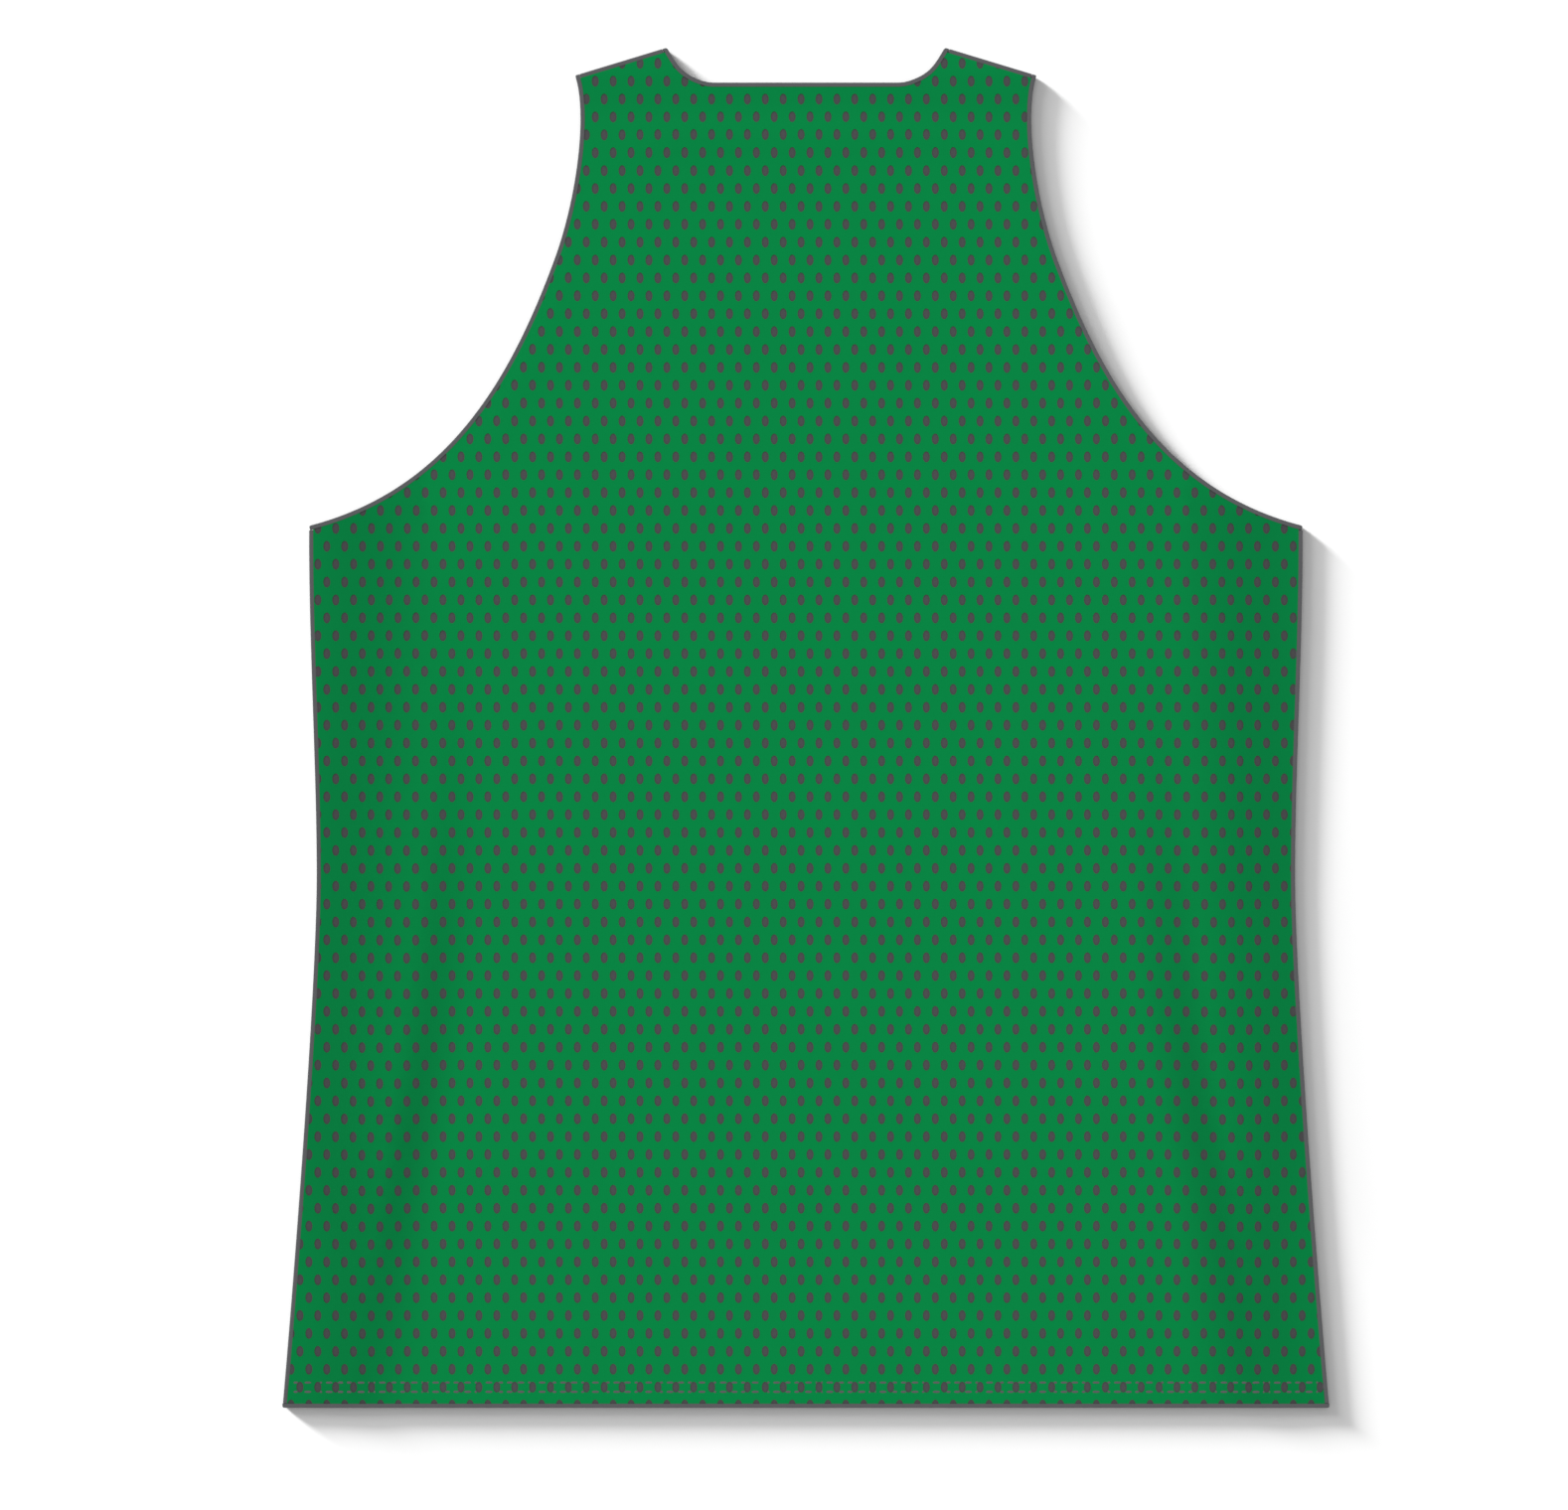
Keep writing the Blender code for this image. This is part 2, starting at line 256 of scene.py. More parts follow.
@dataclass(frozen=True)
class Cut:
    """The finished outline of the jersey, as half widths and rises above the hem."""

    length: float = 0.762
    hem: Point = (0.29315, 0.0)
    waist: Point = (0.2740, 0.2986)
    underarm: Point = (0.27825, 0.4940)
    side_pulls: tuple[Point, ...] = ((0.2861, 0.0804), (0.2740, 0.2390), (0.2740, 0.3590), (0.2786, 0.4312))
    armhole_middle: Point = (0.1405, 0.6440)
    shoulder_tip: Point = (0.1292, 0.7464)
    armhole_pulls: tuple[Point, ...] = (
        (0.2022, 0.5137), (0.1662, 0.5735), (0.1290, 0.6756), (0.1218, 0.7237),
    )
    front_armhole_hollow: float = 0.0080
    neck_corner: Point = (0.0779, 0.7620)
    back_neck_pulls: tuple[Point, ...] = ((0.0713, 0.7508), (0.0693, 0.7464))
    back_neck_flat: float = 0.0547
    back_neck_drop: float = 0.0197
    front_neck_pull: Point = (0.0700, 0.7200)
    front_neck_roundness: float = 0.0560
    front_neck_drop: float = 0.1050
    fineness: float = 3.0 * MM

    def side(self) -> np.ndarray:
        """The right side seam, from the hem to the underarm."""
        return even(bent((self.hem, self.waist, self.underarm), self.side_pulls), self.fineness)

    def armhole(self, layer: Layer) -> np.ndarray:
        """The right armhole, from the underarm to the shoulder.

        Formula: the line moves in by the hollow times the square of the sine of its share, as half a turn.

        Args:
            layer: The panel; the front's armhole is cut hollower than the back's.

        Returns:
            The line's points.
        """
        line = bent((self.underarm, self.armhole_middle, self.shoulder_tip), self.armhole_pulls)
        line = even(line, self.fineness)
        share = along(line) / along(line)[-1]
        hollow = self.front_armhole_hollow if layer is Layer.FRONT else 0.0
        line[:, 0] -= hollow * np.sin(math.pi * share) ** 2
        return line

    def shoulder(self) -> np.ndarray:
        """The right shoulder seam, from the armhole to the neck."""
        return even(np.array([self.shoulder_tip, self.neck_corner]), self.fineness)

    def neck(self, layer: Layer) -> np.ndarray:
        """The right half of the neckline, from the shoulder to the centre.

        Args:
            layer: The panel; the back's neckline is shallow and flat, the front's a deep scoop.

        Returns:
            The line's points.
        """
        if layer is Layer.BACK:
            bottom = self.length - self.back_neck_drop
            ends = (self.neck_corner, (self.back_neck_flat, bottom))
            line = np.vstack([bent(ends, self.back_neck_pulls, steps=(40,)), [(0.0, bottom)]])
        else:
            bottom = self.length - self.front_neck_drop
            pulls = (self.front_neck_pull, (self.front_neck_roundness, bottom))
            line = bent((self.neck_corner, (0.0, bottom)), pulls, steps=(80,))
        return even(line, self.fineness)

    def full_neck(self, layer: Layer) -> np.ndarray:
        """A panel's whole neckline, from the right shoulder to the left."""
        half = self.neck(layer)
        return joined(half, mirrored(half))

    def full_hem(self) -> np.ndarray:
        """The hem, from the left side to the right."""
        ends = np.array([(-self.hem[0], 0.0), self.hem])
        return even(ends, self.fineness)

    def cloth_loop(self, layer: Layer, insets: dict[Edge, float]) -> np.ndarray:
        """The edge of a panel's cloth, inside the trims that finish it.

        Formula: each run of the outline is moved in by its own inset, and each two runs that follow each
        other are carried on to where they cross.

        Args:
            layer: The panel.
            insets: How far inside the outline the cloth ends, by how the edge is finished.

        Returns:
            The corners of a closed loop that runs counter-clockwise.
        """
        right = [(self.side(), Edge.PIPED), (self.armhole(layer), Edge.BOUND), (self.shoulder(), Edge.PIPED)]
        left = [(mirrored(line), edge) for line, edge in reversed(right)]
        runs = [(self.full_hem(), Edge.BOUND), *right, (self.full_neck(layer), Edge.BOUND), *left]
        lines = [moved_in(line, insets[edge]) for line, edge in runs]
        for k in range(len(lines)):
            lines[k - 1], lines[k] = met(lines[k - 1], lines[k])
        return np.concatenate([line[:-1] for line in lines])


@dataclass(frozen=True)
class Fold:
    """One rounded fold on the right side, mirrored to the left.

    Its crest is a curve from start, pulled by middle, to end. It falls away over an inner and an outer
    reach, each given at its start and its end. It raises both panels by its lift and the back one by its
    puff too, less over the shares of its length in which it fades in and out.
    """

    start: Point
    middle: Point
    end: Point
    inner: Span
    outer: Span
    lift: float
    puff: float
    fade_in: float = 0.0
    fade_out: float = 0.0
    samples: int = 80

    def place(self, points: np.ndarray) -> tuple[np.ndarray, np.ndarray]:
        """Where points lie beside the crest.

        Formula: the nearest of the samples along the quadratic curve of start, middle and end.

        Args:
            points: Half widths and rises, of either side.

        Returns:
            The share of the crest's length that each point lies beside, and how far outside it is, with
            the inner side below zero.
        """
        t = np.linspace(0, 1, self.samples)[:, None]
        start, middle, end = (np.array(point) for point in (self.start, self.middle, self.end))
        crest = (1 - t) ** 2 * start + 2 * t * (1 - t) * middle + t**2 * end
        right = np.stack([np.abs(points[:, 0]), points[:, 1]], axis=1)
        square = ((right[:, None] - crest[None]) ** 2).sum(axis=2)
        nearest = square.argmin(axis=1)
        away = np.sqrt(square.min(axis=1))
        return nearest / (self.samples - 1), np.where(right[:, 0] > crest[nearest, 0], away, -away)

    def strength(self, points: np.ndarray) -> np.ndarray:
        """How strongly the fold raises each point.

        Formula: half of one plus the cosine of the distance over the reach, as half a turn, times a smooth
        swell over fade_in and a smooth sink over fade_out.

        Args:
            points: Half widths and rises.

        Returns:
            A value for each point, 0 beyond the reach and 1 on the crest.
        """
        share, beside = self.place(points)
        inner, outer = (first + share * (last - first) for first, last in (self.inner, self.outer))
        reach = np.where(beside > 0, outer, inner)
        ridge = 0.5 + 0.5 * np.cos(math.pi * np.minimum(np.abs(beside) / reach, 1))
        swell = np.minimum(share / self.fade_in, 1) if self.fade_in else 1.0
        sink = np.minimum((1 - share) / self.fade_out, 1) if self.fade_out else 1.0
        ends = swell * sink
        return ridge * ends**2 * (3 - 2 * ends)


@dataclass(frozen=True)
class Ease:
    """A smooth change from one level, up to a low value, to another, from a high value on."""

    low: float | np.ndarray
    high: float | np.ndarray
    at_low: float = 0.0
    at_high: float = 1.0

    def at(self, value: np.ndarray) -> np.ndarray:
        """The level at each value, by 3 squares less 2 cubes of its share of the way from low to high."""
        share = np.clip((value - self.low) / (self.high - self.low), 0, 1)
        return self.at_low + (self.at_high - self.at_low) * share**2 * (3 - 2 * share)


@dataclass(frozen=True)
class Drape:
    """How the cloth lies: its large folds, the rolled hem, and painted shade beside the folds.

    The crease and the band of painted shade follow the side fold, from the underarm to the hem. Their depth,
    foot, reach and full breadth change with the share of its length, and distances are taken outwards from
    its crest.
    """

    side: Fold = Fold(
        (0.214, 0.492), (0.216, 0.290), (0.260, -0.030),
        inner=(0.034, 0.024), outer=(0.058, 0.026), lift=0.0024, puff=0.0031, fade_in=0.25, fade_out=0.35,
    )
    armhole: Fold = Fold(
        (0.195, 0.515), (0.146, 0.585), (0.118, 0.690),
        inner=(0.017, 0.015), outer=(0.013, 0.010), lift=0.0, puff=0.0016, fade_in=0.30, fade_out=0.35,
    )
    yoke: Fold = Fold(
        (0.000, 0.714), (0.060, 0.714), (0.118, 0.706),
        inner=(0.019, 0.014), outer=(0.019, 0.014), lift=0.0, puff=0.0018, fade_in=0.0, fade_out=0.40,
    )
    hem_roll: Ease = Ease(2.0 * MM, 6.0 * MM, at_high=0.35 * MM)
    hem_roll_end: Ease = Ease(12.5 * MM, 16.5 * MM, 1.0, 0.0)
    # The crease, band and yoke values below set where the painted shade falls and how dark it is, along the
    # folds and below the neck.
    crease_shade: Ease = Ease(0.12, 0.75, at_high=0.90)
    crease_foot: Ease = Ease(0.50, 1.05, -22 * MM, 0.0)
    crease_reach: Ease = Ease(0.70, 0.95, 24 * MM, 40 * MM)
    crease_fall: float = 20 * MM
    band_shade: float = 0.78
    band_start: float = -17 * MM
    band_drift: float = -5 * MM
    band_full: Ease = Ease(0.60, 0.90, 32 * MM, 2 * MM)
    seam_easing: float = 0.32
    seam_reach: Span = (7 * MM, 35 * MM)
    above_underarm: Ease = Ease(0.494, 0.522, 1.0, 0.4)
    yoke_shade: Ease = Ease(0.720, 0.734, at_high=0.22)
    yoke_shade_end: Ease = Ease(0.742, 0.753, 1.0, 0.0)

    def lift(self, points: np.ndarray) -> np.ndarray:
        """How far the folds raise both panels at each point."""
        return self.side.lift * self.side.strength(points)

    def puff(self, points: np.ndarray) -> np.ndarray:
        """How far the folds raise the back panel off the front one at each point."""
        return sum(fold.puff * fold.strength(points) for fold in (self.side, self.armhole, self.yoke))

    def roll(self, points: np.ndarray) -> np.ndarray:
        """How far the turned-up hem raises the cloth outside it at each point."""
        return self.hem_roll.at(points[:, 1]) * self.hem_roll_end.at(points[:, 1])

    def height(self, layer: Layer, points: np.ndarray) -> np.ndarray:
        """How far the folds raise one panel off where it would lie flat.

        Args:
            layer: The panel.
            points: Half widths and rises.

        Returns:
            A height for each point.
        """
        raised = self.lift(points)
        if layer is Layer.BACK:
            raised = raised + self.puff(points)
        return raised

    def tone(self, points: np.ndarray) -> np.ndarray:
        """How much painted shade darkens the cloth's colour at each point, in the side bands and the long
        inner creases.

        Formula: the painted shade of the crease deepens over its reach up to its foot, and fades over its
        fall beyond it. The band of painted shade deepens from its start, which drifts with the share of the
        fold's length, to where it is full, and eases off again towards the side seam and above the underarm.
        The deepest of these and of the faint band of painted shade below the neck counts.

        Args:
            points: Half widths and rises.

        Returns:
            A value for each point, from 0 on the open cloth to 1 where the painted shade is deepest, in the
            crease.
        """
        # The result darkens the cloth's colour as painted shade; it does not move the cloth.
        share, beside = self.side.place(points)
        rise = points[:, 1]
        foot, reach = self.crease_foot.at(share), self.crease_reach.at(share)
        crease = self.crease_shade.at(share) * Ease(foot - reach, foot).at(beside)
        crease *= Ease(foot, foot + self.crease_fall, 1.0, 0.0).at(beside)
        start, full = self.band_start + self.band_drift * share, self.band_full.at(share)
        near_seam, at_seam = (full + beyond for beyond in self.seam_reach)
        band = Ease(start, full, at_high=self.band_shade).at(beside)
        band -= Ease(near_seam, at_seam, at_high=self.seam_easing).at(beside)
        band *= self.above_underarm.at(rise)
        yoke = self.yoke_shade.at(rise) * self.yoke_shade_end.at(rise)
        return np.maximum(np.maximum(band, crease), yoke)


@dataclass(frozen=True)
class EyeletLattice:
    """The eyelets of the mesh: upright ovals in level rows, every second row shifted by half a pitch."""

    pitch: float = 10.02 * MM
    row_pitch: float = 10.018 * MM
    width: float = 4.00 * MM
    height: float = 6.20 * MM
    first: Point = (-2.68 * MM, 452.47 * MM)
    corners: int = 12

    def centres(self, loop: np.ndarray) -> np.ndarray:
        """The middles of the eyelets that touch the cloth.

        Formula: row k is k row pitches from the first, and its eyelets are whole pitches from the first,
        less half a pitch in every odd row.

        Args:
            loop: The edge of the cloth.

        Returns:
            A point for each eyelet with a corner in the cloth.
        """
        low, high = loop.min(axis=0), loop.max(axis=0)
        start = np.floor((low - self.first) / (self.pitch, self.row_pitch)).astype(int)
        stop = np.ceil((high - self.first) / (self.pitch, self.row_pitch)).astype(int) + 2
        place, row = (side.ravel() for side in np.meshgrid(*(np.arange(*ends) for ends in zip(start, stop))))
        x = self.first[0] + (place - 0.5 * (row % 2)) * self.pitch
        y = self.first[1] + row * self.row_pitch
        middles = np.stack([x, y], axis=1)
        near = np.zeros(len(middles), bool)
        for corner in self.oval():
            near |= inside(middles + corner, loop)
        return middles[near]

    def oval(self) -> np.ndarray:
        """The corners of one eyelet about its middle, equal turns round an ellipse."""
        turn = (np.arange(self.corners) + 0.5) * 2 * math.pi / self.corners
        return np.stack([np.cos(turn) * self.width / 2, np.sin(turn) * self.height / 2], axis=1)

    def holds(self, points: np.ndarray) -> np.ndarray:
        """Which points lie in an eyelet.

        Formula: the offset from the nearest middle of either of the two straight lattices that make up the
        shifted one lies on the inner side of each of the oval's edges.

        Args:
            points: Half widths and rises.

        Returns:
            A true or false for each point.
        """
        oval = self.oval()
        edge = np.roll(oval, -1, axis=0) - oval
        normal = np.stack([edge[:, 1], -edge[:, 0]], axis=1)
        reach = (normal * oval).sum(axis=1)
        period = np.array([self.pitch, 2 * self.row_pitch])
        found = np.zeros(len(points), bool)
        for shift in (np.zeros(2), np.array([self.pitch / 2, self.row_pitch])):
            offset = points - np.array(self.first) - shift
            offset -= period * np.round(offset / period)
            found |= (offset @ normal.T < reach).all(axis=1)
        return found

    def crossings(self, rise: float, half_width: float) -> np.ndarray:
        """Where a level line runs over eyelets.

        Formula: to each side of each middle in the row nearest the line, half the width times the root of
        one less the square of the line's share of half the height.

        Args:
            rise: The line's rise.
            half_width: How far the line runs from the centre line, to each side.

        Returns:
            The left and the right end of each crossing, from left to right.
        """
        row = round((rise - self.first[1]) / self.row_pitch)
        share = (rise - self.first[1] - row * self.row_pitch) / (self.height / 2)
        half = self.width / 2 * math.sqrt(max(0.0, 1 - share**2))
        start = self.first[0] - 0.5 * (row % 2) * self.pitch
        lowest = math.ceil((-half_width - start) / self.pitch)
        highest = math.floor((half_width - start) / self.pitch)
        middle = start + np.arange(lowest, highest + 1) * self.pitch
        return np.stack([middle - half, middle + half], axis=1)


# ---------------------------------------------------------------------------------------------------------
# Meshes
# ---------------------------------------------------------------------------------------------------------


def in_frame(points: np.ndarray, heights: np.ndarray) -> np.ndarray:
    """Half widths and rises, with their heights, as points of the frame."""
    return np.column_stack([points[:, 0], points[:, 1] + HEM_Y, heights])


def turned_out(mesh: bpy.types.Mesh) -> None:
    """Turns every face of a closed mesh outwards.

    Args:
        mesh: The mesh, which is changed.
    """
    bm = bmesh.new()
    bm.from_mesh(mesh)
    bmesh.ops.recalc_face_normals(bm, faces=bm.faces)
    bm.to_mesh(mesh)
    bm.free()


def new_piece(
    name: str,
    points: np.ndarray,
    faces: list[list[int]],
    look: Material,
    uv: np.ndarray | None = None,
) -> Piece:
    """Puts a closed mesh into the scene as a piece of the jersey.

    Args:
        name: The piece's name.
        points: Its points, in the frame.
        faces: The corners of each face.
        look: Its material.
        uv: The UV place of every corner of every face, where the finish follows the piece's own path.

    Returns:
        The object, which rides on the jersey's one body.
    """
    mesh = bpy.data.meshes.new(name)
    mesh.from_pydata(points.tolist(), [], faces)
    if uv is not None:
        mesh.uv_layers.new(name="path").uv.foreach_set("vector", uv.ravel())
    turned_out(mesh)
    mesh.shade_smooth()
    mesh.set_sharp_from_angle(angle=SHARP_EDGE)
    mesh.materials.append(look)
    obj = bpy.data.objects.new(name, mesh)
    bpy.context.scene.collection.objects.link(obj)
    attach(obj, "root")
    log.info("%s: %d faces", name, len(faces))
    return obj


def cut_flat(loop: np.ndarray, ovals: np.ndarray, within: np.ndarray) -> tuple[np.ndarray, np.ndarray]:
    """Triangles that fill a panel in the flat, with the edges of its eyelets among theirs.

    Formula: a constrained Delaunay triangulation in millimetres fills the whole hull. It keeps every edge
    of the loop and of the ovals, and cuts an oval where the loop crosses it. The triangles whose middles are
    outside the loop go.

    Args:
        loop: The edge of the cloth.
        ovals: The corners of each eyelet, one row for each; none for a plain cloth.
        within: More points that the cloth gets.

    Returns:
        The points, and the three corners of each triangle, counter-clockwise from above.
    """
    count, corners = ovals.shape[:2]
    first = len(loop) + corners * np.arange(count)[:, None]
    step = np.arange(corners)
    ring = np.stack([first + step, first + (step + 1) % corners], axis=2).reshape(-1, 2)
    edge = np.stack([np.arange(len(loop)), (np.arange(len(loop)) + 1) % len(loop)], axis=1)
    flat = [Vector(point) for point in np.vstack([loop, ovals.reshape(-1, 2), within]) / MM]
    made = delaunay_2d_cdt(flat, np.vstack([edge, ring]).tolist(), [], WHOLE_HULL, SAME_POINT)
    points = np.array([tuple(point) for point in made[0]]) * MM
    triangles = np.array(made[2])
    a, b, c = (points[triangles[:, corner]] for corner in range(3))
    turn = (b[:, 0] - a[:, 0]) * (c[:, 1] - a[:, 1]) - (b[:, 1] - a[:, 1]) * (c[:, 0] - a[:, 0])
    triangles[turn < 0] = triangles[turn < 0][:, ::-1]
    return points, triangles[inside((a + b + c) / 3, loop)]


def closed_sheet(
    points: np.ndarray, triangles: np.ndarray, bottom: np.ndarray, top: np.ndarray
) -> tuple[np.ndarray, list[list[int]]]:
    """A thin sheet closed all round, from its triangles in the flat.

    Formula: the triangles lie once at the top heights and once, turned over, at the bottom heights, and
    each of their edges that no second triangle shares gets a wall between the two.

    Args:
        points: The points in the flat.
        triangles: The corners of each triangle, counter-clockwise from above.
        bottom: The height of the sheet's underside at each point.
        top: The height of its upper side at each point.

    Returns:
        The sheet's points in the frame, and the corners of its faces.
    """
    used, triangles = np.unique(triangles, return_inverse=True)
    triangles = triangles.reshape(-1, 3)
    points, bottom, top = points[used], bottom[used], top[used]
    count = len(points)
    start = triangles.ravel()
    end = np.roll(triangles, -1, axis=1).ravel()
    lone = ~np.isin(start * count + end, end * count + start)
    start, end = start[lone], end[lone]
    walls = np.stack([start, start + count, end + count, end], axis=1)
    faces = [*triangles.tolist(), *(triangles[:, ::-1] + count).tolist(), *walls.tolist()]
    return np.vstack([in_frame(points, top), in_frame(points, bottom)]), faces


def grid_within(loop: np.ndarray, step: Point) -> np.ndarray:
    """The points of an even grid that lie inside a loop.

    Args:
        loop: The loop's corners.
        step: The grid's steps across and up.

    Returns:
        The points, at whole steps from the centre line and the hem.
    """
    low, high = loop.min(axis=0), loop.max(axis=0)
    x = np.arange(math.ceil(low[0] / step[0]), high[0] / step[0]) * step[0]
    y = np.arange(math.ceil(low[1] / step[1]), high[1] / step[1]) * step[1]
    points = np.stack(np.meshgrid(x, y), axis=2).reshape(-1, 2)
    return points[inside(points, loop)]


def tube_corners(stretches: int, around: int) -> tuple[np.ndarray, np.ndarray]:
    """The corners of a tube's faces.

    Formula: face (s, p) joins points p and p + 1 of sections s and s + 1.

    Args:
        stretches: How many stretches the tube has along its path.
        around: How many points each section has.

    Returns:
        The section of each corner and its point in the section, both as faces by 4.
    """
    s, p = np.divmod(np.arange(stretches * around), around)
    return np.stack([s, s, s + 1, s + 1], axis=1), np.stack([p, p + 1, p + 1, p], axis=1)


def carried(
    name: str, sections: np.ndarray, ring: bool, look: Material
) -> Piece:
    """A profile carried along a path, as a closed solid with its own UV map.

    Formula: U is the length run along the path and V the length run round the profile, both in metres.

    Args:
        name: The piece's name.
        sections: The profile's points at each place of the path, an array of places by points by 3.
        ring: Whether the path closes on itself; otherwise both ends are capped.
        look: The piece's material.

    Returns:
        The object.
    """
    places, around = sections.shape[:2]
    s, p = tube_corners(places if ring else places - 1, around)
    faces = (s % places * around + p % around).tolist()
    looped = np.vstack([sections, sections[:1]]).mean(axis=1)
    rounded = np.vstack([sections[0], sections[0, :1]])
    u, v = along(looped)[s].ravel(), along(rounded)[p].ravel()
    if not ring:
        last = (places - 1) * around
        faces += [list(range(around)), list(range(last, last + around))]
        u, v = (np.concatenate([side, np.zeros(2 * around)]) for side in (u, v))
    return new_piece(name, sections.reshape(-1, 3), faces, look, np.stack([u, v], axis=1))


# ---------------------------------------------------------------------------------------------------------
# Finishes
# ---------------------------------------------------------------------------------------------------------


class Shading:
    """A material as it is built: one Principled shader, and short ways to add the nodes before it.

    A Mix node has sockets of the same names for each type of data, so those for colours go by number.
    """

    mix_share, mix_first, mix_second, mix_result = 0, 6, 7, 2
    sheen_roughness = 0.5
    noise_detail = 3.0
    noise_span = (0.3, 0.7)

    def __init__(self, name: str, roughness: float, specular: float, sheen: float) -> None:
        """Starts the material.

        Args:
            name: The material's name.
            roughness: The shader's roughness.
            specular: The shader's specular level.
            sheen: How much of a soft fibre sheen it has.
        """
        self.material = bpy.data.materials.new(name)
        self.material.use_nodes = True
        self.nodes = self.material.node_tree.nodes
        self.links = self.material.node_tree.links
        self.shader = self.nodes["Principled BSDF"]
        self.shader.inputs["Roughness"].default_value = roughness
        self.shader.inputs["Specular IOR Level"].default_value = specular
        self.shader.inputs["Sheen Weight"].default_value = sheen
        self.shader.inputs["Sheen Roughness"].default_value = self.sheen_roughness

    def node(self, kind: str, inputs: dict[str | int, object], **settings: object) -> bpy.types.Node:
        """Adds a node.

        Args:
            kind: The node's type.
            inputs: What goes into its sockets, a value or another node's output, by name or number.
            settings: The node's own properties.

        Returns:
            The node.
        """
        made = self.nodes.new(kind)
        for key, value in settings.items():
            setattr(made, key, value)
        for key, value in inputs.items():
            self.give(made.inputs[key], value)
        return made

    def give(self, socket: Socket, value: object) -> None:
        """Links an output to a socket, or sets the socket's own value.

        Args:
            socket: The socket.
            value: An output of another node, or a plain value.
        """
        if isinstance(value, Socket):
            self.links.new(value, socket)
        else:
            socket.default_value = value

    def math(self, operation: str, *values: object) -> Socket:
        """The result of one sum on values or outputs."""
        return self.node("ShaderNodeMath", dict(enumerate(values)), operation=operation).outputs[0]

    def spread(self, value: object, low: float, high: float, at_low: float, at_high: float) -> Socket:
        """A value taken smoothly from at_low, where it is low, to at_high, where it is high."""
        inputs = {"Value": value, "From Min": low, "From Max": high, "To Min": at_low, "To Max": at_high}
        return self.node("ShaderNodeMapRange", inputs, interpolation_type="SMOOTHSTEP").outputs["Result"]

    def parts(self, coordinate: Socket) -> tuple[Socket, Socket]:
        """The first two parts of a coordinate."""
        split = self.node("ShaderNodeSeparateXYZ", {0: coordinate})
        return split.outputs["X"], split.outputs["Y"]

    def point(self) -> Socket:
        """The surface point's own place in the frame."""
        return self.node("ShaderNodeTexCoord", {}).outputs["Object"]

    def place(self) -> tuple[Socket, Socket]:
        """The surface point's own x and y in the frame."""
        return self.parts(self.point())

    def path(self) -> tuple[Socket, Socket]:
        """The lengths along and round a carried piece, from its UV map."""
        return self.parts(self.node("ShaderNodeUVMap", {}, uv_map="path").outputs["UV"])

    def wave(self, value: object, pitch: float) -> Socket:
        """A smooth wave of a value, 0 at whole pitches and 1 half way between them.

        Formula: half of one less the cosine of the value over the pitch, as whole turns.
        """
        turns = self.math("MULTIPLY", value, 2 * math.pi / pitch)
        return self.math("MULTIPLY_ADD", self.math("COSINE", turns), -0.5, 0.5)

    def mottle(self, patches: float, low: float, high: float) -> Socket:
        """A soft noise between low and high, with about so many patches to a metre."""
        inputs = {"Vector": self.point(), "Scale": patches, "Detail": self.noise_detail}
        noise = self.node("ShaderNodeTexNoise", inputs).outputs["Fac"]
        return self.spread(noise, *self.noise_span, low, high)

    def coloured(self, open_colour: Colour, painted_shade_colour: Colour, shade_share: object, brightness: object) -> None:
        """Gives the shader a colour between its own colour and a darker colour of painted shade, times a
        brightness.

        Args:
            open_colour: The colour where no shade is painted.
            painted_shade_colour: The colour where the painted shade is deepest.
            shade_share: How much of the painted shade colour goes in.
            brightness: What the result is multiplied by.
        """
        colours = {
            self.mix_share: shade_share,
            self.mix_first: (*open_colour, 1.0),
            self.mix_second: (*painted_shade_colour, 1.0),
        }
        mixed = self.node("ShaderNodeMix", colours, data_type="RGBA").outputs[self.mix_result]
        scaled = self.node("ShaderNodeVectorMath", {0: mixed, "Scale": brightness}, operation="SCALE")
        self.give(self.shader.inputs["Base Color"], scaled.outputs["Vector"])

    def raised(self, height: object) -> None:
        """Gives the surface a relief, as a height in metres."""
        bump = self.node("ShaderNodeBump", {"Strength": 1.0, "Distance": 1.0, "Height": height})
        self.give(self.shader.inputs["Normal"], bump.outputs["Normal"])


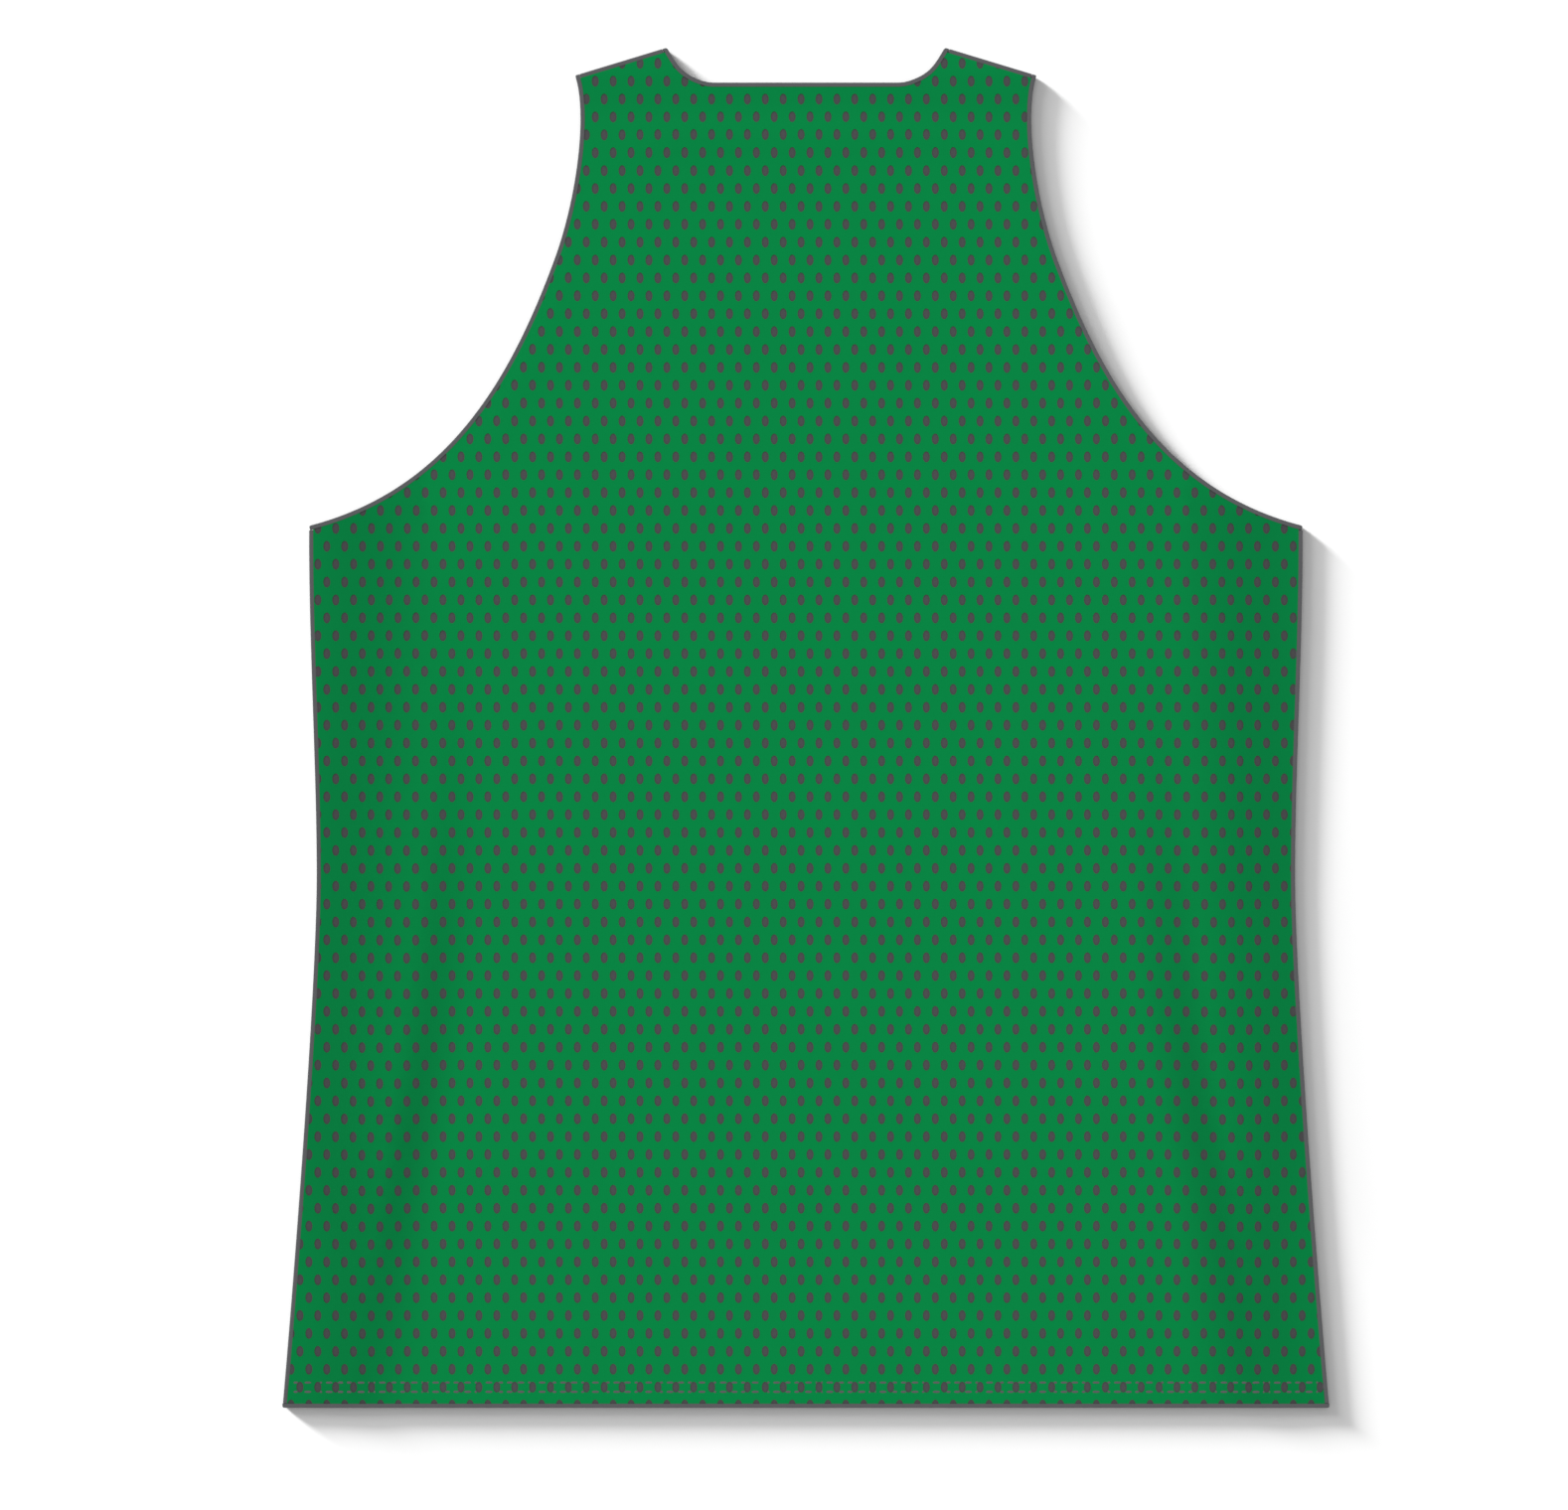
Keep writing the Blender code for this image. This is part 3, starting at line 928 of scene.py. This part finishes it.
@dataclass(frozen=True)
class KnitFinish:
    """A knitted cloth: wales of small slanted loops, a soft sheen, painted shade in the grooves between the
    loops, and painted shade along the folds.
    """

    name: str
    colour: Colour
    painted_shade_colour: Colour
    wale: float = 1.15 * MM
    course: float = 0.80 * MM
    slant: float = 1.4
    loop_share: float = 0.65
    relief: float = 0.045 * MM
    yarn_span: Span = (0.1, 0.9)
    yarn_groove_shade: Span = (0.965, 1.02)
    patches: float = 14.0
    patch_tones: Span = (0.99, 1.01)
    roughness: float = 0.82
    specular: float = 0.04
    sheen: float = 0.02
    rim: float = 0.10 * MM
    rim_reach: float = 1.38
    groove: float = 0.12 * MM
    groove_reach: float = 1.6 * MM

    def knit(self, shading: Shading) -> Socket:
        """The height of the loops, from 0 to 1.

        Formula: the wave of the rise plus a slanted zigzag of the half width, one zigzag to a wale, has the
        loops' share, and the wave of the half width has the rest.

        Args:
            shading: The material.

        Returns:
            The height.
        """
        x, y = shading.place()
        slanted = shading.math("MULTIPLY_ADD", shading.math("PINGPONG", x, self.wale / 2), self.slant, y)
        loops = shading.math("MULTIPLY", shading.wave(slanted, self.course), self.loop_share)
        return shading.math("MULTIPLY_ADD", shading.wave(x, self.wale), 1 - self.loop_share, loops)

    def eyelet_distance(self, shading: Shading, lattice: EyeletLattice) -> Socket:
        """How far a point is from the nearest eyelet's middle, 1 on its edge.

        Formula: the folded offsets from the first lattice are |u| and |v|, those from the second are half
        a pitch less |u| and a row pitch less |v|, and the shorter of the two scaled lengths is taken.

        Args:
            shading: The material.
            lattice: The eyelets.

        Returns:
            The distance.
        """
        x, y = shading.place()
        u = shading.math("PINGPONG", shading.math("SUBTRACT", x, lattice.first[0]), lattice.pitch / 2)
        start = lattice.first[1] + HEM_Y
        v = shading.math("PINGPONG", shading.math("SUBTRACT", y, start), lattice.row_pitch)
        other_u = shading.math("SUBTRACT", lattice.pitch / 2, u)
        other_v = shading.math("SUBTRACT", lattice.row_pitch, v)
        lengths = []
        for across, up in ((u, v), (other_u, other_v)):
            wide = shading.math("POWER", shading.math("DIVIDE", across, lattice.width / 2), 2.0)
            high = shading.math("POWER", shading.math("DIVIDE", up, lattice.height / 2), 2.0)
            lengths.append(shading.math("SQRT", shading.math("ADD", wide, high)))
        return shading.math("MINIMUM", *lengths)

    def made(self, lattice: EyeletLattice | None, hem_grooves: tuple[float, ...]) -> Material:
        """The finish as a material.

        Args:
            lattice: The eyelets whose rims stand a little proud; none on a plain cloth.
            hem_grooves: The rises of the stitch rows that pull the cloth in.

        Returns:
            The material.
        """
        shading = Shading(self.name, self.roughness, self.specular, self.sheen)
        knit = self.knit(shading)
        height = shading.math("MULTIPLY", knit, self.relief)
        if lattice:
            distance = self.eyelet_distance(shading, lattice)
            rim = shading.spread(distance, 1.0, self.rim_reach, 1.0, 0.0)
            height = shading.math("MULTIPLY_ADD", rim, self.rim, height)
        for rise in hem_grooves:
            off = shading.math("ABSOLUTE", shading.math("SUBTRACT", shading.place()[1], rise + HEM_Y))
            groove = shading.spread(off, 0.0, self.groove_reach, 1.0, 0.0)
            height = shading.math("MULTIPLY_ADD", groove, -self.groove, height)
        # The attribute holds the painted shade along the folds, which mixes the colour towards its darker
        # painted shade colour.
        tone = shading.node("ShaderNodeAttribute", {}, attribute_name="tone").outputs["Fac"]
        # The colour is painted darker in the low parts of the knit, as painted shade in its grooves, and a
        # little lighter on the loops' tops, as a painted highlight.
        knit_groove_shade = shading.spread(knit, *self.yarn_span, *self.yarn_groove_shade)
        brightness = shading.math("MULTIPLY", knit_groove_shade, shading.mottle(self.patches, *self.patch_tones))
        shading.coloured(self.colour, self.painted_shade_colour, tone, brightness)
        shading.raised(height)
        return shading.material


@dataclass(frozen=True)
class TapeFinish:
    """A narrow woven tape or piping: a fine rib across its length, with painted shade in the rib's grooves.
    """

    name: str
    colour: Colour
    rib: float = 0.55 * MM
    slant: float = 0.6
    relief: float = 0.03 * MM
    rib_groove_shade: Span = (0.95, 1.03)
    patches: float = 60.0
    patch_tones: Span = (0.98, 1.02)
    roughness: float = 0.75
    specular: float = 0.15
    sheen: float = 0.06

    def made(self) -> Material:
        """The finish as a material.

        Formula: the height is the wave of the length along the tape, with a slant of the length round it.
        The same wave paints the rib's grooves darker, as painted shade.

        Returns:
            The material.
        """
        shading = Shading(self.name, self.roughness, self.specular, self.sheen)
        u, v = shading.path()
        rib = shading.wave(shading.math("MULTIPLY_ADD", v, self.slant, u), self.rib)
        # The colour is darker in the rib's grooves and a little lighter on its tops, as painted shade and a
        # painted highlight.
        tone = shading.spread(rib, 0.0, 1.0, *self.rib_groove_shade)
        brightness = shading.math("MULTIPLY", tone, shading.mottle(self.patches, *self.patch_tones))
        shading.coloured(self.colour, self.colour, 0.0, brightness)
        shading.raised(shading.math("MULTIPLY", rib, self.relief))
        return shading.material


@dataclass(frozen=True)
class ThreadFinish:
    """A twisted sewing thread: slanted strands, with painted shade as dark lines between them."""

    name: str
    colour: Colour
    strand: float = 0.45 * MM
    relief: float = 0.04 * MM
    strand_groove_shade: Span = (0.88, 1.06)
    roughness: float = 0.6
    specular: float = 0.2
    sheen: float = 0.05

    def made(self) -> Material:
        """The finish as a material.

        Formula: the height is the wave of the half width plus the rise, so that the strands run slanted.

        Returns:
            The material.
        """
        shading = Shading(self.name, self.roughness, self.specular, self.sheen)
        strand = shading.wave(shading.math("ADD", *shading.place()), self.strand)
        # The colour is darker between the strands, as painted shade, and a little lighter on their tops.
        shading.coloured(self.colour, self.colour, 0.0, shading.spread(strand, 0.0, 1.0, *self.strand_groove_shade))
        shading.raised(shading.math("MULTIPLY", strand, self.relief))
        return shading.material


# ---------------------------------------------------------------------------------------------------------
# The jersey's sub-assemblies
# ---------------------------------------------------------------------------------------------------------


@dataclass(frozen=True)
class Panel:
    """One panel of the jersey: a perforated face outside, and a plain ply on its inner side.

    The heights are those of a ply's underside and upper side where the panel lies flat. The insets are how
    far inside the outline the cloth ends, and how far inside it the plain ply's even points end. Those lie
    on a coarse grid in the flat middle, and on a fine one beyond it, where the folds are.
    """

    layer: Layer
    node: str
    lattice: EyeletLattice
    cut: Cut
    drape: Drape
    face_heights: Span
    ply_heights: Span
    insets: tuple[tuple[Edge, float], ...] = ((Edge.BOUND, 0.9 * MM), (Edge.PIPED, 2.40 * MM))
    clear_insets: tuple[tuple[Edge, float], ...] = ((Edge.BOUND, 3.0 * MM), (Edge.PIPED, 4.5 * MM))
    coarse_step: Point = (8.5 * MM, 8.5 * MM)
    fine_step: Point = (4.0 * MM, 4.0 * MM)
    fine_beyond: Point = (0.165, 0.500)

    def loop(self) -> np.ndarray:
        """The edge of the panel's cloth."""
        return self.cut.cloth_loop(self.layer, dict(self.insets))

    def flat_size(self) -> Span:
        """The width and length that both plies are cut to, as far as they show."""
        width, length = self.loop().max(axis=0) - self.loop().min(axis=0)
        return float(width), float(length)

    def flat_area(self) -> float:
        """The area of the cut, eyelets included: half the sum of the cross products of its corners."""
        loop = self.loop()
        after = np.roll(loop, -1, axis=0)
        return float((loop[:, 0] * after[:, 1] - loop[:, 1] * after[:, 0]).sum() / 2)

    def sheet(
        self,
        name: str,
        flat: tuple[np.ndarray, np.ndarray],
        span: Span,
        look: Material,
    ) -> Piece:
        """One ply of the panel, laid over the folds, with the painted shade of each point as an attribute.

        Args:
            name: The piece's name.
            flat: The ply's points and triangles in the flat.
            span: The heights of its underside and its upper side where the panel lies flat.
            look: Its material.

        Returns:
            The object.
        """
        points, triangles = flat
        raised = self.drape.height(self.layer, points)
        if self.layer is Layer.BACK:
            raised = raised + self.drape.roll(points)
        corners, faces = closed_sheet(points, triangles, raised + span[0], raised + span[1])
        obj = new_piece(name, corners, faces, look)
        # The painted shade along the folds goes on every point as an attribute, for the material to darken
        # the colour with.
        tone = self.drape.tone(corners[:, :2] - np.array([0.0, HEM_Y]))
        obj.data.attributes.new("tone", "FLOAT", "POINT").data.foreach_set("value", tone)
        return obj

    def face(self, look: Material) -> Piece:
        """The perforated outer ply.

        Formula: the triangles of the flat cut stay where the eyelets don't hold their middles.

        Args:
            look: Its material.

        Returns:
            The object, which stands for the panel's node.
        """
        loop = self.loop()
        middles = self.lattice.centres(loop)
        points, triangles = cut_flat(loop, middles[:, None] + self.lattice.oval(), NO_POINTS)
        solid = ~self.lattice.holds(points[triangles].mean(axis=1))
        flat = points, triangles[solid]
        obj = self.sheet(f"{self.layer.value}_face", flat, self.face_heights, look)
        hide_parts(self.node)
        return obj

    def ply(self, look: Material) -> Piece:
        """The plain inner ply, which shows through the eyelets.

        Args:
            look: Its material.

        Returns:
            The object.
        """
        clear = self.cut.cloth_loop(self.layer, dict(self.clear_insets))
        fine, coarse = grid_within(clear, self.fine_step), grid_within(clear, self.coarse_step)
        wide, high = self.fine_beyond
        fine = fine[(np.abs(fine[:, 0]) > wide) | (fine[:, 1] > high)]
        coarse = coarse[(np.abs(coarse[:, 0]) <= wide) & (coarse[:, 1] <= high)]
        flat = cut_flat(self.loop(), NO_OVALS, np.vstack([fine, coarse]))
        return self.sheet(f"{self.layer.value}_ply", flat, self.ply_heights, look)


@dataclass(frozen=True)
class TapeSection:
    """A folded tape's section on one panel: its middle height, half its height and half its slot's."""

    middle: float
    half: float
    slot: float


@dataclass(frozen=True)
class Binding:
    """A narrow tape folded over the cloth's edge, round one opening of the garment as it lies flat.

    It runs along the back's edge and the front's, and turns over between them within its turn room.
    """

    node: str
    back_line: np.ndarray
    front_line: np.ndarray
    drape: Drape
    width: float = 2.4 * MM
    slot_depth: float = 2.05 * MM
    slot_taper: float = 0.20 * MM
    corner: float = 0.14 * MM
    bulge: float = 0.65 * MM
    nose_points: int = 7
    turn_room: float = 1.55 * MM
    spacing: float = 3.0 * MM
    over: TapeSection = TapeSection(middle=2.425 * MM, half=0.845 * MM, slot=0.565 * MM)
    under: TapeSection = TapeSection(middle=0.755 * MM, half=0.735 * MM, slot=0.485 * MM)
    turn_steps: int = 6

    def profile(self, section: TapeSection) -> np.ndarray:
        """The tape's section, as places across and up from its middle, the folded edge at the right.

        Formula: a rounded box whose right side is half an ellipse, with a slot cut in from the left.

        Args:
            section: The heights of the section.

        Returns:
            The points of a closed line.
        """
        side, top, slot = self.width / 2, section.half, section.slot
        turn = np.linspace(math.pi / 2, -math.pi / 2, self.nose_points)
        across = side - self.bulge + self.bulge * np.cos(turn)
        nose = np.stack([across, top * np.sin(turn)], axis=1)
        end = self.slot_depth - side
        upper = np.array([(-side, top - self.corner), (-side + self.corner, top), (0.0, top)])
        hollow = np.array([(-side, slot), (0.0, slot), (end - self.slot_taper, slot), (end, slot / 2)])
        flipped = np.array([1.0, -1.0])
        return np.vstack([upper, nose, upper[::-1] * flipped, hollow * flipped, hollow[::-1]])

    def strip(self, line: np.ndarray, layer: Layer) -> np.ndarray:
        """The tape's sections along one panel's edge.

        Formula: each section stands across the line, its middle half a width inside it, and its up is +Z
        on the back and -Z on the front.

        Args:
            line: The finished edge of the panel.
            layer: The panel.

        Returns:
            An array of places by profile points by 3.
        """
        line = even(trimmed(line, self.turn_room, self.turn_room), self.spacing)
        inner = moved_in(line, self.width)
        outward = np.column_stack([line - inner, np.zeros(len(line))]) / self.width
        centre = (line + inner) / 2
        section = self.over if layer is Layer.BACK else self.under
        place = in_frame(centre, self.drape.height(layer, centre) + section.middle)
        across, up = self.profile(section).T[:, None, :, None]
        rising = up if layer is Layer.BACK else -up
        return place[:, None] + across * outward[:, None] + rising * UP

    def turned(self, first: np.ndarray, last: np.ndarray, ahead: np.ndarray) -> np.ndarray:
        """The sections that carry the tape round from one panel to the other.

        Formula: each point runs half an ellipse from its place in the first section to that in the last,
        bulging ahead by half their difference in height.

        Args:
            first: The section that the turn starts from.
            last: The section that it ends in.
            ahead: The direction of the tape at first, in the flat.

        Returns:
            The sections between them.
        """
        turn = np.linspace(0, math.pi, self.turn_steps + 1)[1:-1, None, None]
        middle, half = (first + last) / 2, (first - last) / 2
        forward = np.append(ahead / np.linalg.norm(ahead), 0.0)
        return middle + half * np.cos(turn) + np.abs(half[:, 2:]) * np.sin(turn) * forward

    def build(self, look: Material) -> Piece:
        """The whole ring: along the back, over, along the front, and over again.

        Args:
            look: Its material.

        Returns:
            The object, which stands for the binding's node.
        """
        back, front = self.strip(self.back_line, Layer.BACK), self.strip(self.front_line, Layer.FRONT)[::-1]
        at_end = self.turned(back[-1], front[0], self.back_line[-1] - self.back_line[-2])
        at_start = self.turned(front[-1], back[0], self.back_line[0] - self.back_line[1])
        sections = np.concatenate([back, at_end, front, at_start])
        obj = carried(f"{self.node}_tape", sections, True, look)
        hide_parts(self.node)
        return obj


@dataclass(frozen=True)
class Piping:
    """A narrow piping caught in a seam that lies flat, its inner side let into both panels' cloth."""

    node: str
    line: np.ndarray
    width: float = 2.95 * MM
    middle: float = 1.57 * MM
    half: float = 1.55 * MM
    spacing: float = 3.5 * MM
    points: int = 16
    roundness: float = 2.6
    tip_size: float = 0.72
    tip_length: float = 0.35 * MM

    def build(self, look: Material) -> Piece:
        """The piping, with a smaller section a little beyond each end.

        Formula: the section is a superellipse, each of whose sides is the cosine or sine of the turn to
        the power of two over the roundness.

        Args:
            look: Its material.

        Returns:
            The object, which stands for the piping's node.
        """
        line = even(self.line, self.spacing)
        inner = moved_in(line, self.width)
        outward = np.column_stack([line - inner, np.zeros(len(line))]) / 2
        turn = np.arange(self.points) * 2 * math.pi / self.points
        power = 2 / self.roundness
        across = np.sign(np.cos(turn)) * np.abs(np.cos(turn)) ** power
        up = np.sign(np.sin(turn)) * np.abs(np.sin(turn)) ** power * self.half
        place = in_frame((line + inner) / 2, np.full(len(line), self.middle))
        sections = place[:, None] + across[:, None] * outward[:, None] + up[:, None] * UP
        tips = []
        for end, before in ((0, 1), (-1, -2)):
            ahead = (place[end] - place[before]) / np.linalg.norm(place[end] - place[before])
            tips.append(place[end] + (sections[end] - place[end]) * self.tip_size + ahead * self.tip_length)
        sections = np.concatenate([tips[:1], sections, tips[1:]])
        obj = carried(f"{self.node}_cord", sections, False, look)
        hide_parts(self.node)
        return obj


@dataclass(frozen=True)
class HemStitching:
    """The two rows of straight stitches that hold a panel's turned-up hem.

    The surface is the height of the cloth's outer side, and the first is the place of a stitch's middle.
    """

    layer: Layer
    surface: float
    lattice: EyeletLattice
    drape: Drape
    rises: Span = (14.3 * MM, 9.1 * MM)
    pitch: float = 5.963 * MM
    first: float = 1.46 * MM
    length: float = 4.12 * MM
    shortest: float = 0.7 * MM
    width: float = 1.25 * MM
    height: float = 0.56 * MM
    half_row: float = 0.2893
    rings: int = 7
    sides: int = 6
    dip: float = 0.22 * MM

    def template(self) -> tuple[np.ndarray, list[list[int]]]:
        """One stitch of half length 1 about its middle, and its faces.

        Formula: rings of equal turns along the stitch, whose radius is the fourth root of one less the
        fourth power of the place along it, closed by a point at each end.

        Returns:
            Places along, across and up, and the corners of each face.
        """
        where = np.sin(np.linspace(-1, 1, self.rings + 2)[1:-1] * math.pi / 2)
        radius = (1 - where**4) ** 0.25
        turn = np.arange(self.sides) * 2 * math.pi / self.sides
        across, up = np.cos(turn) * self.width / 2, np.sin(turn) * self.height / 2
        ring = np.stack([np.zeros(self.sides), across, up], axis=1)
        tip = np.array([1.0, 0.0, 0.0])
        body = ring[None] * radius[:, None, None] + where[:, None, None] * tip
        points = np.vstack([body.reshape(-1, 3), -tip, tip])
        s, p = tube_corners(self.rings - 1, self.sides)
        tube = s * self.sides + p % self.sides
        start, end, last = len(points) - 2, len(points) - 1, (self.rings - 1) * self.sides
        step = np.arange(self.sides)
        following = (step + 1) % self.sides
        first_tip = np.stack([np.full(self.sides, start), following, step], axis=1)
        last_tip = np.stack([np.full(self.sides, end), last + step, last + following], axis=1)
        return points, tube.tolist() + first_tip.tolist() + last_tip.tolist()

    def row(self, rise: float) -> np.ndarray:
        """The stitches of one row, as they show between the eyelets.

        Formula: the stitches lie whole pitches from the first, and each is cut to the stretches between
        the row's crossings of the eyelets. A piece under the shortest length is dropped.

        Args:
            rise: The row's rise.

        Returns:
            The middle, the rise and half the length of each piece.
        """
        crossings = self.lattice.crossings(rise, self.half_row)
        opens = np.append(-self.half_row, crossings[:, 1])
        closes = np.append(crossings[:, 0], self.half_row)
        count = math.ceil(self.half_row / self.pitch)
        middle = self.first + np.arange(-count, count + 1)[:, None] * self.pitch
        low, high = np.maximum(middle - self.length / 2, opens), np.minimum(middle + self.length / 2, closes)
        kept = high - low > self.shortest
        low, high = low[kept], high[kept]
        return np.stack([(low + high) / 2, np.full(len(low), rise), (high - low) / 2], axis=1)

    def build(self, look: Material) -> Piece:
        """Both rows as one piece, each stitch dipping into the cloth at its ends.

        Formula: a stitch sinks by the dip times the cube of the share of its half length.

        Args:
            look: The thread's material.

        Returns:
            The object.
        """
        template, faces = self.template()
        stitches = np.vstack([self.row(rise) for rise in self.rises])
        lengthwise = stitches[:, None, 0] + template[None, :, 0] * stitches[:, None, 2]
        crosswise = stitches[:, None, 1] + template[None, :, 1]
        flat = np.stack([lengthwise.ravel(), crosswise.ravel()], axis=1)
        up = np.tile(template[:, 2], len(stitches))
        under = self.dip * np.tile(np.abs(template[:, 0]), len(stitches)) ** 3
        raised = self.drape.height(self.layer, flat) + self.surface + up
        if self.layer is Layer.BACK:
            heights = raised + self.drape.roll(flat) - under
        else:
            heights = raised + under
        offsets = np.arange(len(stitches)) * len(template)
        all_faces = [[corner + int(offset) for corner in face] for offset in offsets for face in faces]
        name = f"{self.layer.value}_hem_stitches"
        return new_piece(name, in_frame(flat, heights), all_faces, look)


@dataclass(frozen=True)
class Jersey:
    """The whole jersey: two panels, the tapes round its openings, the seam pipings and the hem stitches."""

    cut: Cut = Cut()
    drape: Drape = Drape()
    back_eyelets: EyeletLattice = EyeletLattice()
    front_eyelets: EyeletLattice = EyeletLattice(first=(0.0, 447.8 * MM))
    side_stops: Span = (2.9 * MM, 2.7 * MM)
    shoulder_stops: Span = (2.8 * MM, 3.1 * MM)
    # Each knit's second, darker colour is the one that the painted shade along the folds mixes towards.
    mesh: KnitFinish = KnitFinish(
        "green_eyelet_mesh", colour=(0.0009, 0.2300, 0.0545), painted_shade_colour=(0.0009, 0.1800, 0.0445),
    )
    inner: KnitFinish = KnitFinish(
        "charcoal_inner_knit", colour=(0.0765, 0.0760, 0.0800), painted_shade_colour=(0.0620, 0.0610, 0.0640),
        wale=0.8 * MM, course=0.6 * MM, relief=0.03 * MM,
    )
    tape: TapeFinish = TapeFinish("charcoal_tape", colour=(0.0976, 0.0998, 0.1046))
    thread: ThreadFinish = ThreadFinish("charcoal_thread", colour=(0.1030, 0.1050, 0.1100))

    def panels(self) -> tuple[Panel, Panel]:
        """The front, face down on the floor, and the back on top of it."""
        front = Panel(
            Layer.FRONT, "front_panel", self.front_eyelets, self.cut, self.drape,
            face_heights=(0.30 * MM, 0.70 * MM), ply_heights=(0.90 * MM, 1.17 * MM),
        )
        back = Panel(
            Layer.BACK, "back_panel", self.back_eyelets, self.cut, self.drape,
            face_heights=(2.55 * MM, 2.95 * MM), ply_heights=(2.08 * MM, 2.35 * MM),
        )
        return front, back

    def trims(self) -> list[Binding | Piping]:
        """The tapes and the pipings, each on the node that it replaces."""
        armholes = [self.cut.armhole(layer) for layer in Layer]
        necks = [self.cut.full_neck(layer) for layer in Layer]
        side = trimmed(self.cut.side(), *self.side_stops)
        shoulder = trimmed(self.cut.shoulder(), *self.shoulder_stops)
        hem = self.cut.full_hem()
        return [
            Binding("neck_binding", *necks, self.drape),
            Binding("hem_binding", hem, hem, self.drape),
            Binding("armhole_binding_right", *armholes, self.drape),
            Binding("armhole_binding_left", *(mirrored(line) for line in armholes), self.drape),
            Piping("side_piping_right", side),
            Piping("side_piping_left", mirrored(side)),
            Piping("shoulder_piping_right", shoulder),
            Piping("shoulder_piping_left", mirrored(shoulder)),
        ]

    def build(self) -> None:
        """Makes every piece from the floor up, and works out the size and area that each panel's cloth was
        cut to.
        """
        tape, thread, inner = self.tape.made(), self.thread.made(), self.inner.made(None, ())
        trims = [trim.build(tape) for trim in self.trims()]
        for panel in self.panels():
            surface = panel.face_heights[1] if panel.layer is Layer.BACK else panel.face_heights[0]
            stitching = HemStitching(panel.layer, surface, panel.lattice, self.drape)
            outer = self.mesh.made(panel.lattice, stitching.rises)
            stitches = stitching.build(thread)
            face, ply = panel.face(outer), panel.ply(inner)
            cut = {"flat": panel.flat_size(), "held": "laid", "area": panel.flat_area()}


# ---------------------------------------------------------------------------------------------------------
# The studio
# ---------------------------------------------------------------------------------------------------------


@dataclass(frozen=True)
class Lamp:
    """A soft sun, by the share of light that it gives a level surface, with its angles in degrees."""

    name: str
    share: float
    bearing: float
    elevation: float
    softness: float
    lights_floor: bool

    def build(self, floor: Piece) -> None:
        """The lamp, which lights either the floor alone or all but the floor.

        Formula: the sun's strength is pi times its share over the sine of its elevation. It tilts by a right
        angle less its elevation, and then turns by its bearing.

        Args:
            floor: The studio's floor.
        """
        data = bpy.data.lights.new(self.name, "SUN")
        data.energy = math.pi * self.share / math.sin(math.radians(self.elevation))
        data.angle = math.radians(self.softness)
        obj = bpy.data.objects.new(self.name, data)
        obj.rotation_euler = (0.0, math.radians(90 - self.elevation), math.radians(self.bearing))
        bpy.context.scene.collection.objects.link(obj)
        lit = bpy.data.collections.new(f"{self.name}_lights")
        lit.objects.link(floor)
        lit.collection_objects[0].light_linking.link_state = "INCLUDE" if self.lights_floor else "EXCLUDE"
        obj.light_linking.receiver_collection = lit


@dataclass(frozen=True)
class Studio:
    """A pale floor, soft light, and a camera straight above.

    The jersey gets its light from all round and from a high lamp. Two low lamps at the upper left light the
    floor alone, so that thin cloth still throws a wide soft shadow.
    """

    lens: float = 100.0
    sensor: float = 36.0
    camera_place: tuple[float, float, float] = (-0.01225, -0.01533, 2.4416)
    floor_side: float = 12.0
    floor_colour: Colour = (0.68, 0.68, 0.68)
    sky: float = 0.60
    lamps: tuple[Lamp, ...] = (
        Lamp("high_lamp", share=0.42, bearing=120, elevation=76, softness=20, lights_floor=False),
        Lamp("middle_lamp", share=0.27, bearing=142, elevation=13.3, softness=23, lights_floor=True),
        Lamp("low_lamp", share=0.72, bearing=142, elevation=6.1, softness=9.6, lights_floor=True),
    )

    def camera(self) -> None:
        """The camera, looking straight down with the neck at the top of its picture."""
        data = bpy.data.cameras.new("overhead")
        data.lens = self.lens
        data.sensor_width = self.sensor
        data.dof.use_dof = False
        obj = bpy.data.objects.new("overhead", data)
        obj.location = self.camera_place
        bpy.context.scene.collection.objects.link(obj)
        bpy.context.scene.camera = obj

    def surroundings(self) -> None:
        """The even white light from all round."""
        world = bpy.data.worlds.new("studio")
        world.use_nodes = True
        backdrop = world.node_tree.nodes["Background"]
        backdrop.inputs["Color"].default_value = (1.0, 1.0, 1.0, 1.0)
        backdrop.inputs["Strength"].default_value = self.sky
        bpy.context.scene.world = world

    def floor(self) -> Piece:
        """The level floor that the jersey lies on."""
        half = self.floor_side / 2
        corners = [(-half, -half, 0), (half, -half, 0), (half, half, 0), (-half, half, 0)]
        mesh = bpy.data.meshes.new("studio_floor")
        mesh.from_pydata(corners, [], [(0, 1, 2, 3)])
        shading = Shading("pale_floor", roughness=0.9, specular=0.1, sheen=0.0)
        brightness = shading.mottle(patches=3.0, low=0.995, high=1.0)
        shading.coloured(self.floor_colour, self.floor_colour, 0.0, brightness)
        mesh.materials.append(shading.material)
        obj = bpy.data.objects.new("studio_floor", mesh)
        bpy.context.scene.collection.objects.link(obj)
        return obj

    def build(self) -> None:
        """Makes the whole studio, camera first."""
        self.camera()
        self.surroundings()
        floor = self.floor()
        for lamp in self.lamps:
            lamp.build(floor)


def main() -> None:
    """Builds the studio and the jersey."""
    logging.basicConfig(level=logging.INFO, format="%(message)s")
    bpy.context.scene.view_settings.view_transform = "Standard"
    Studio().build()
    Jersey().build()


if __name__ == "__main__":
    main()
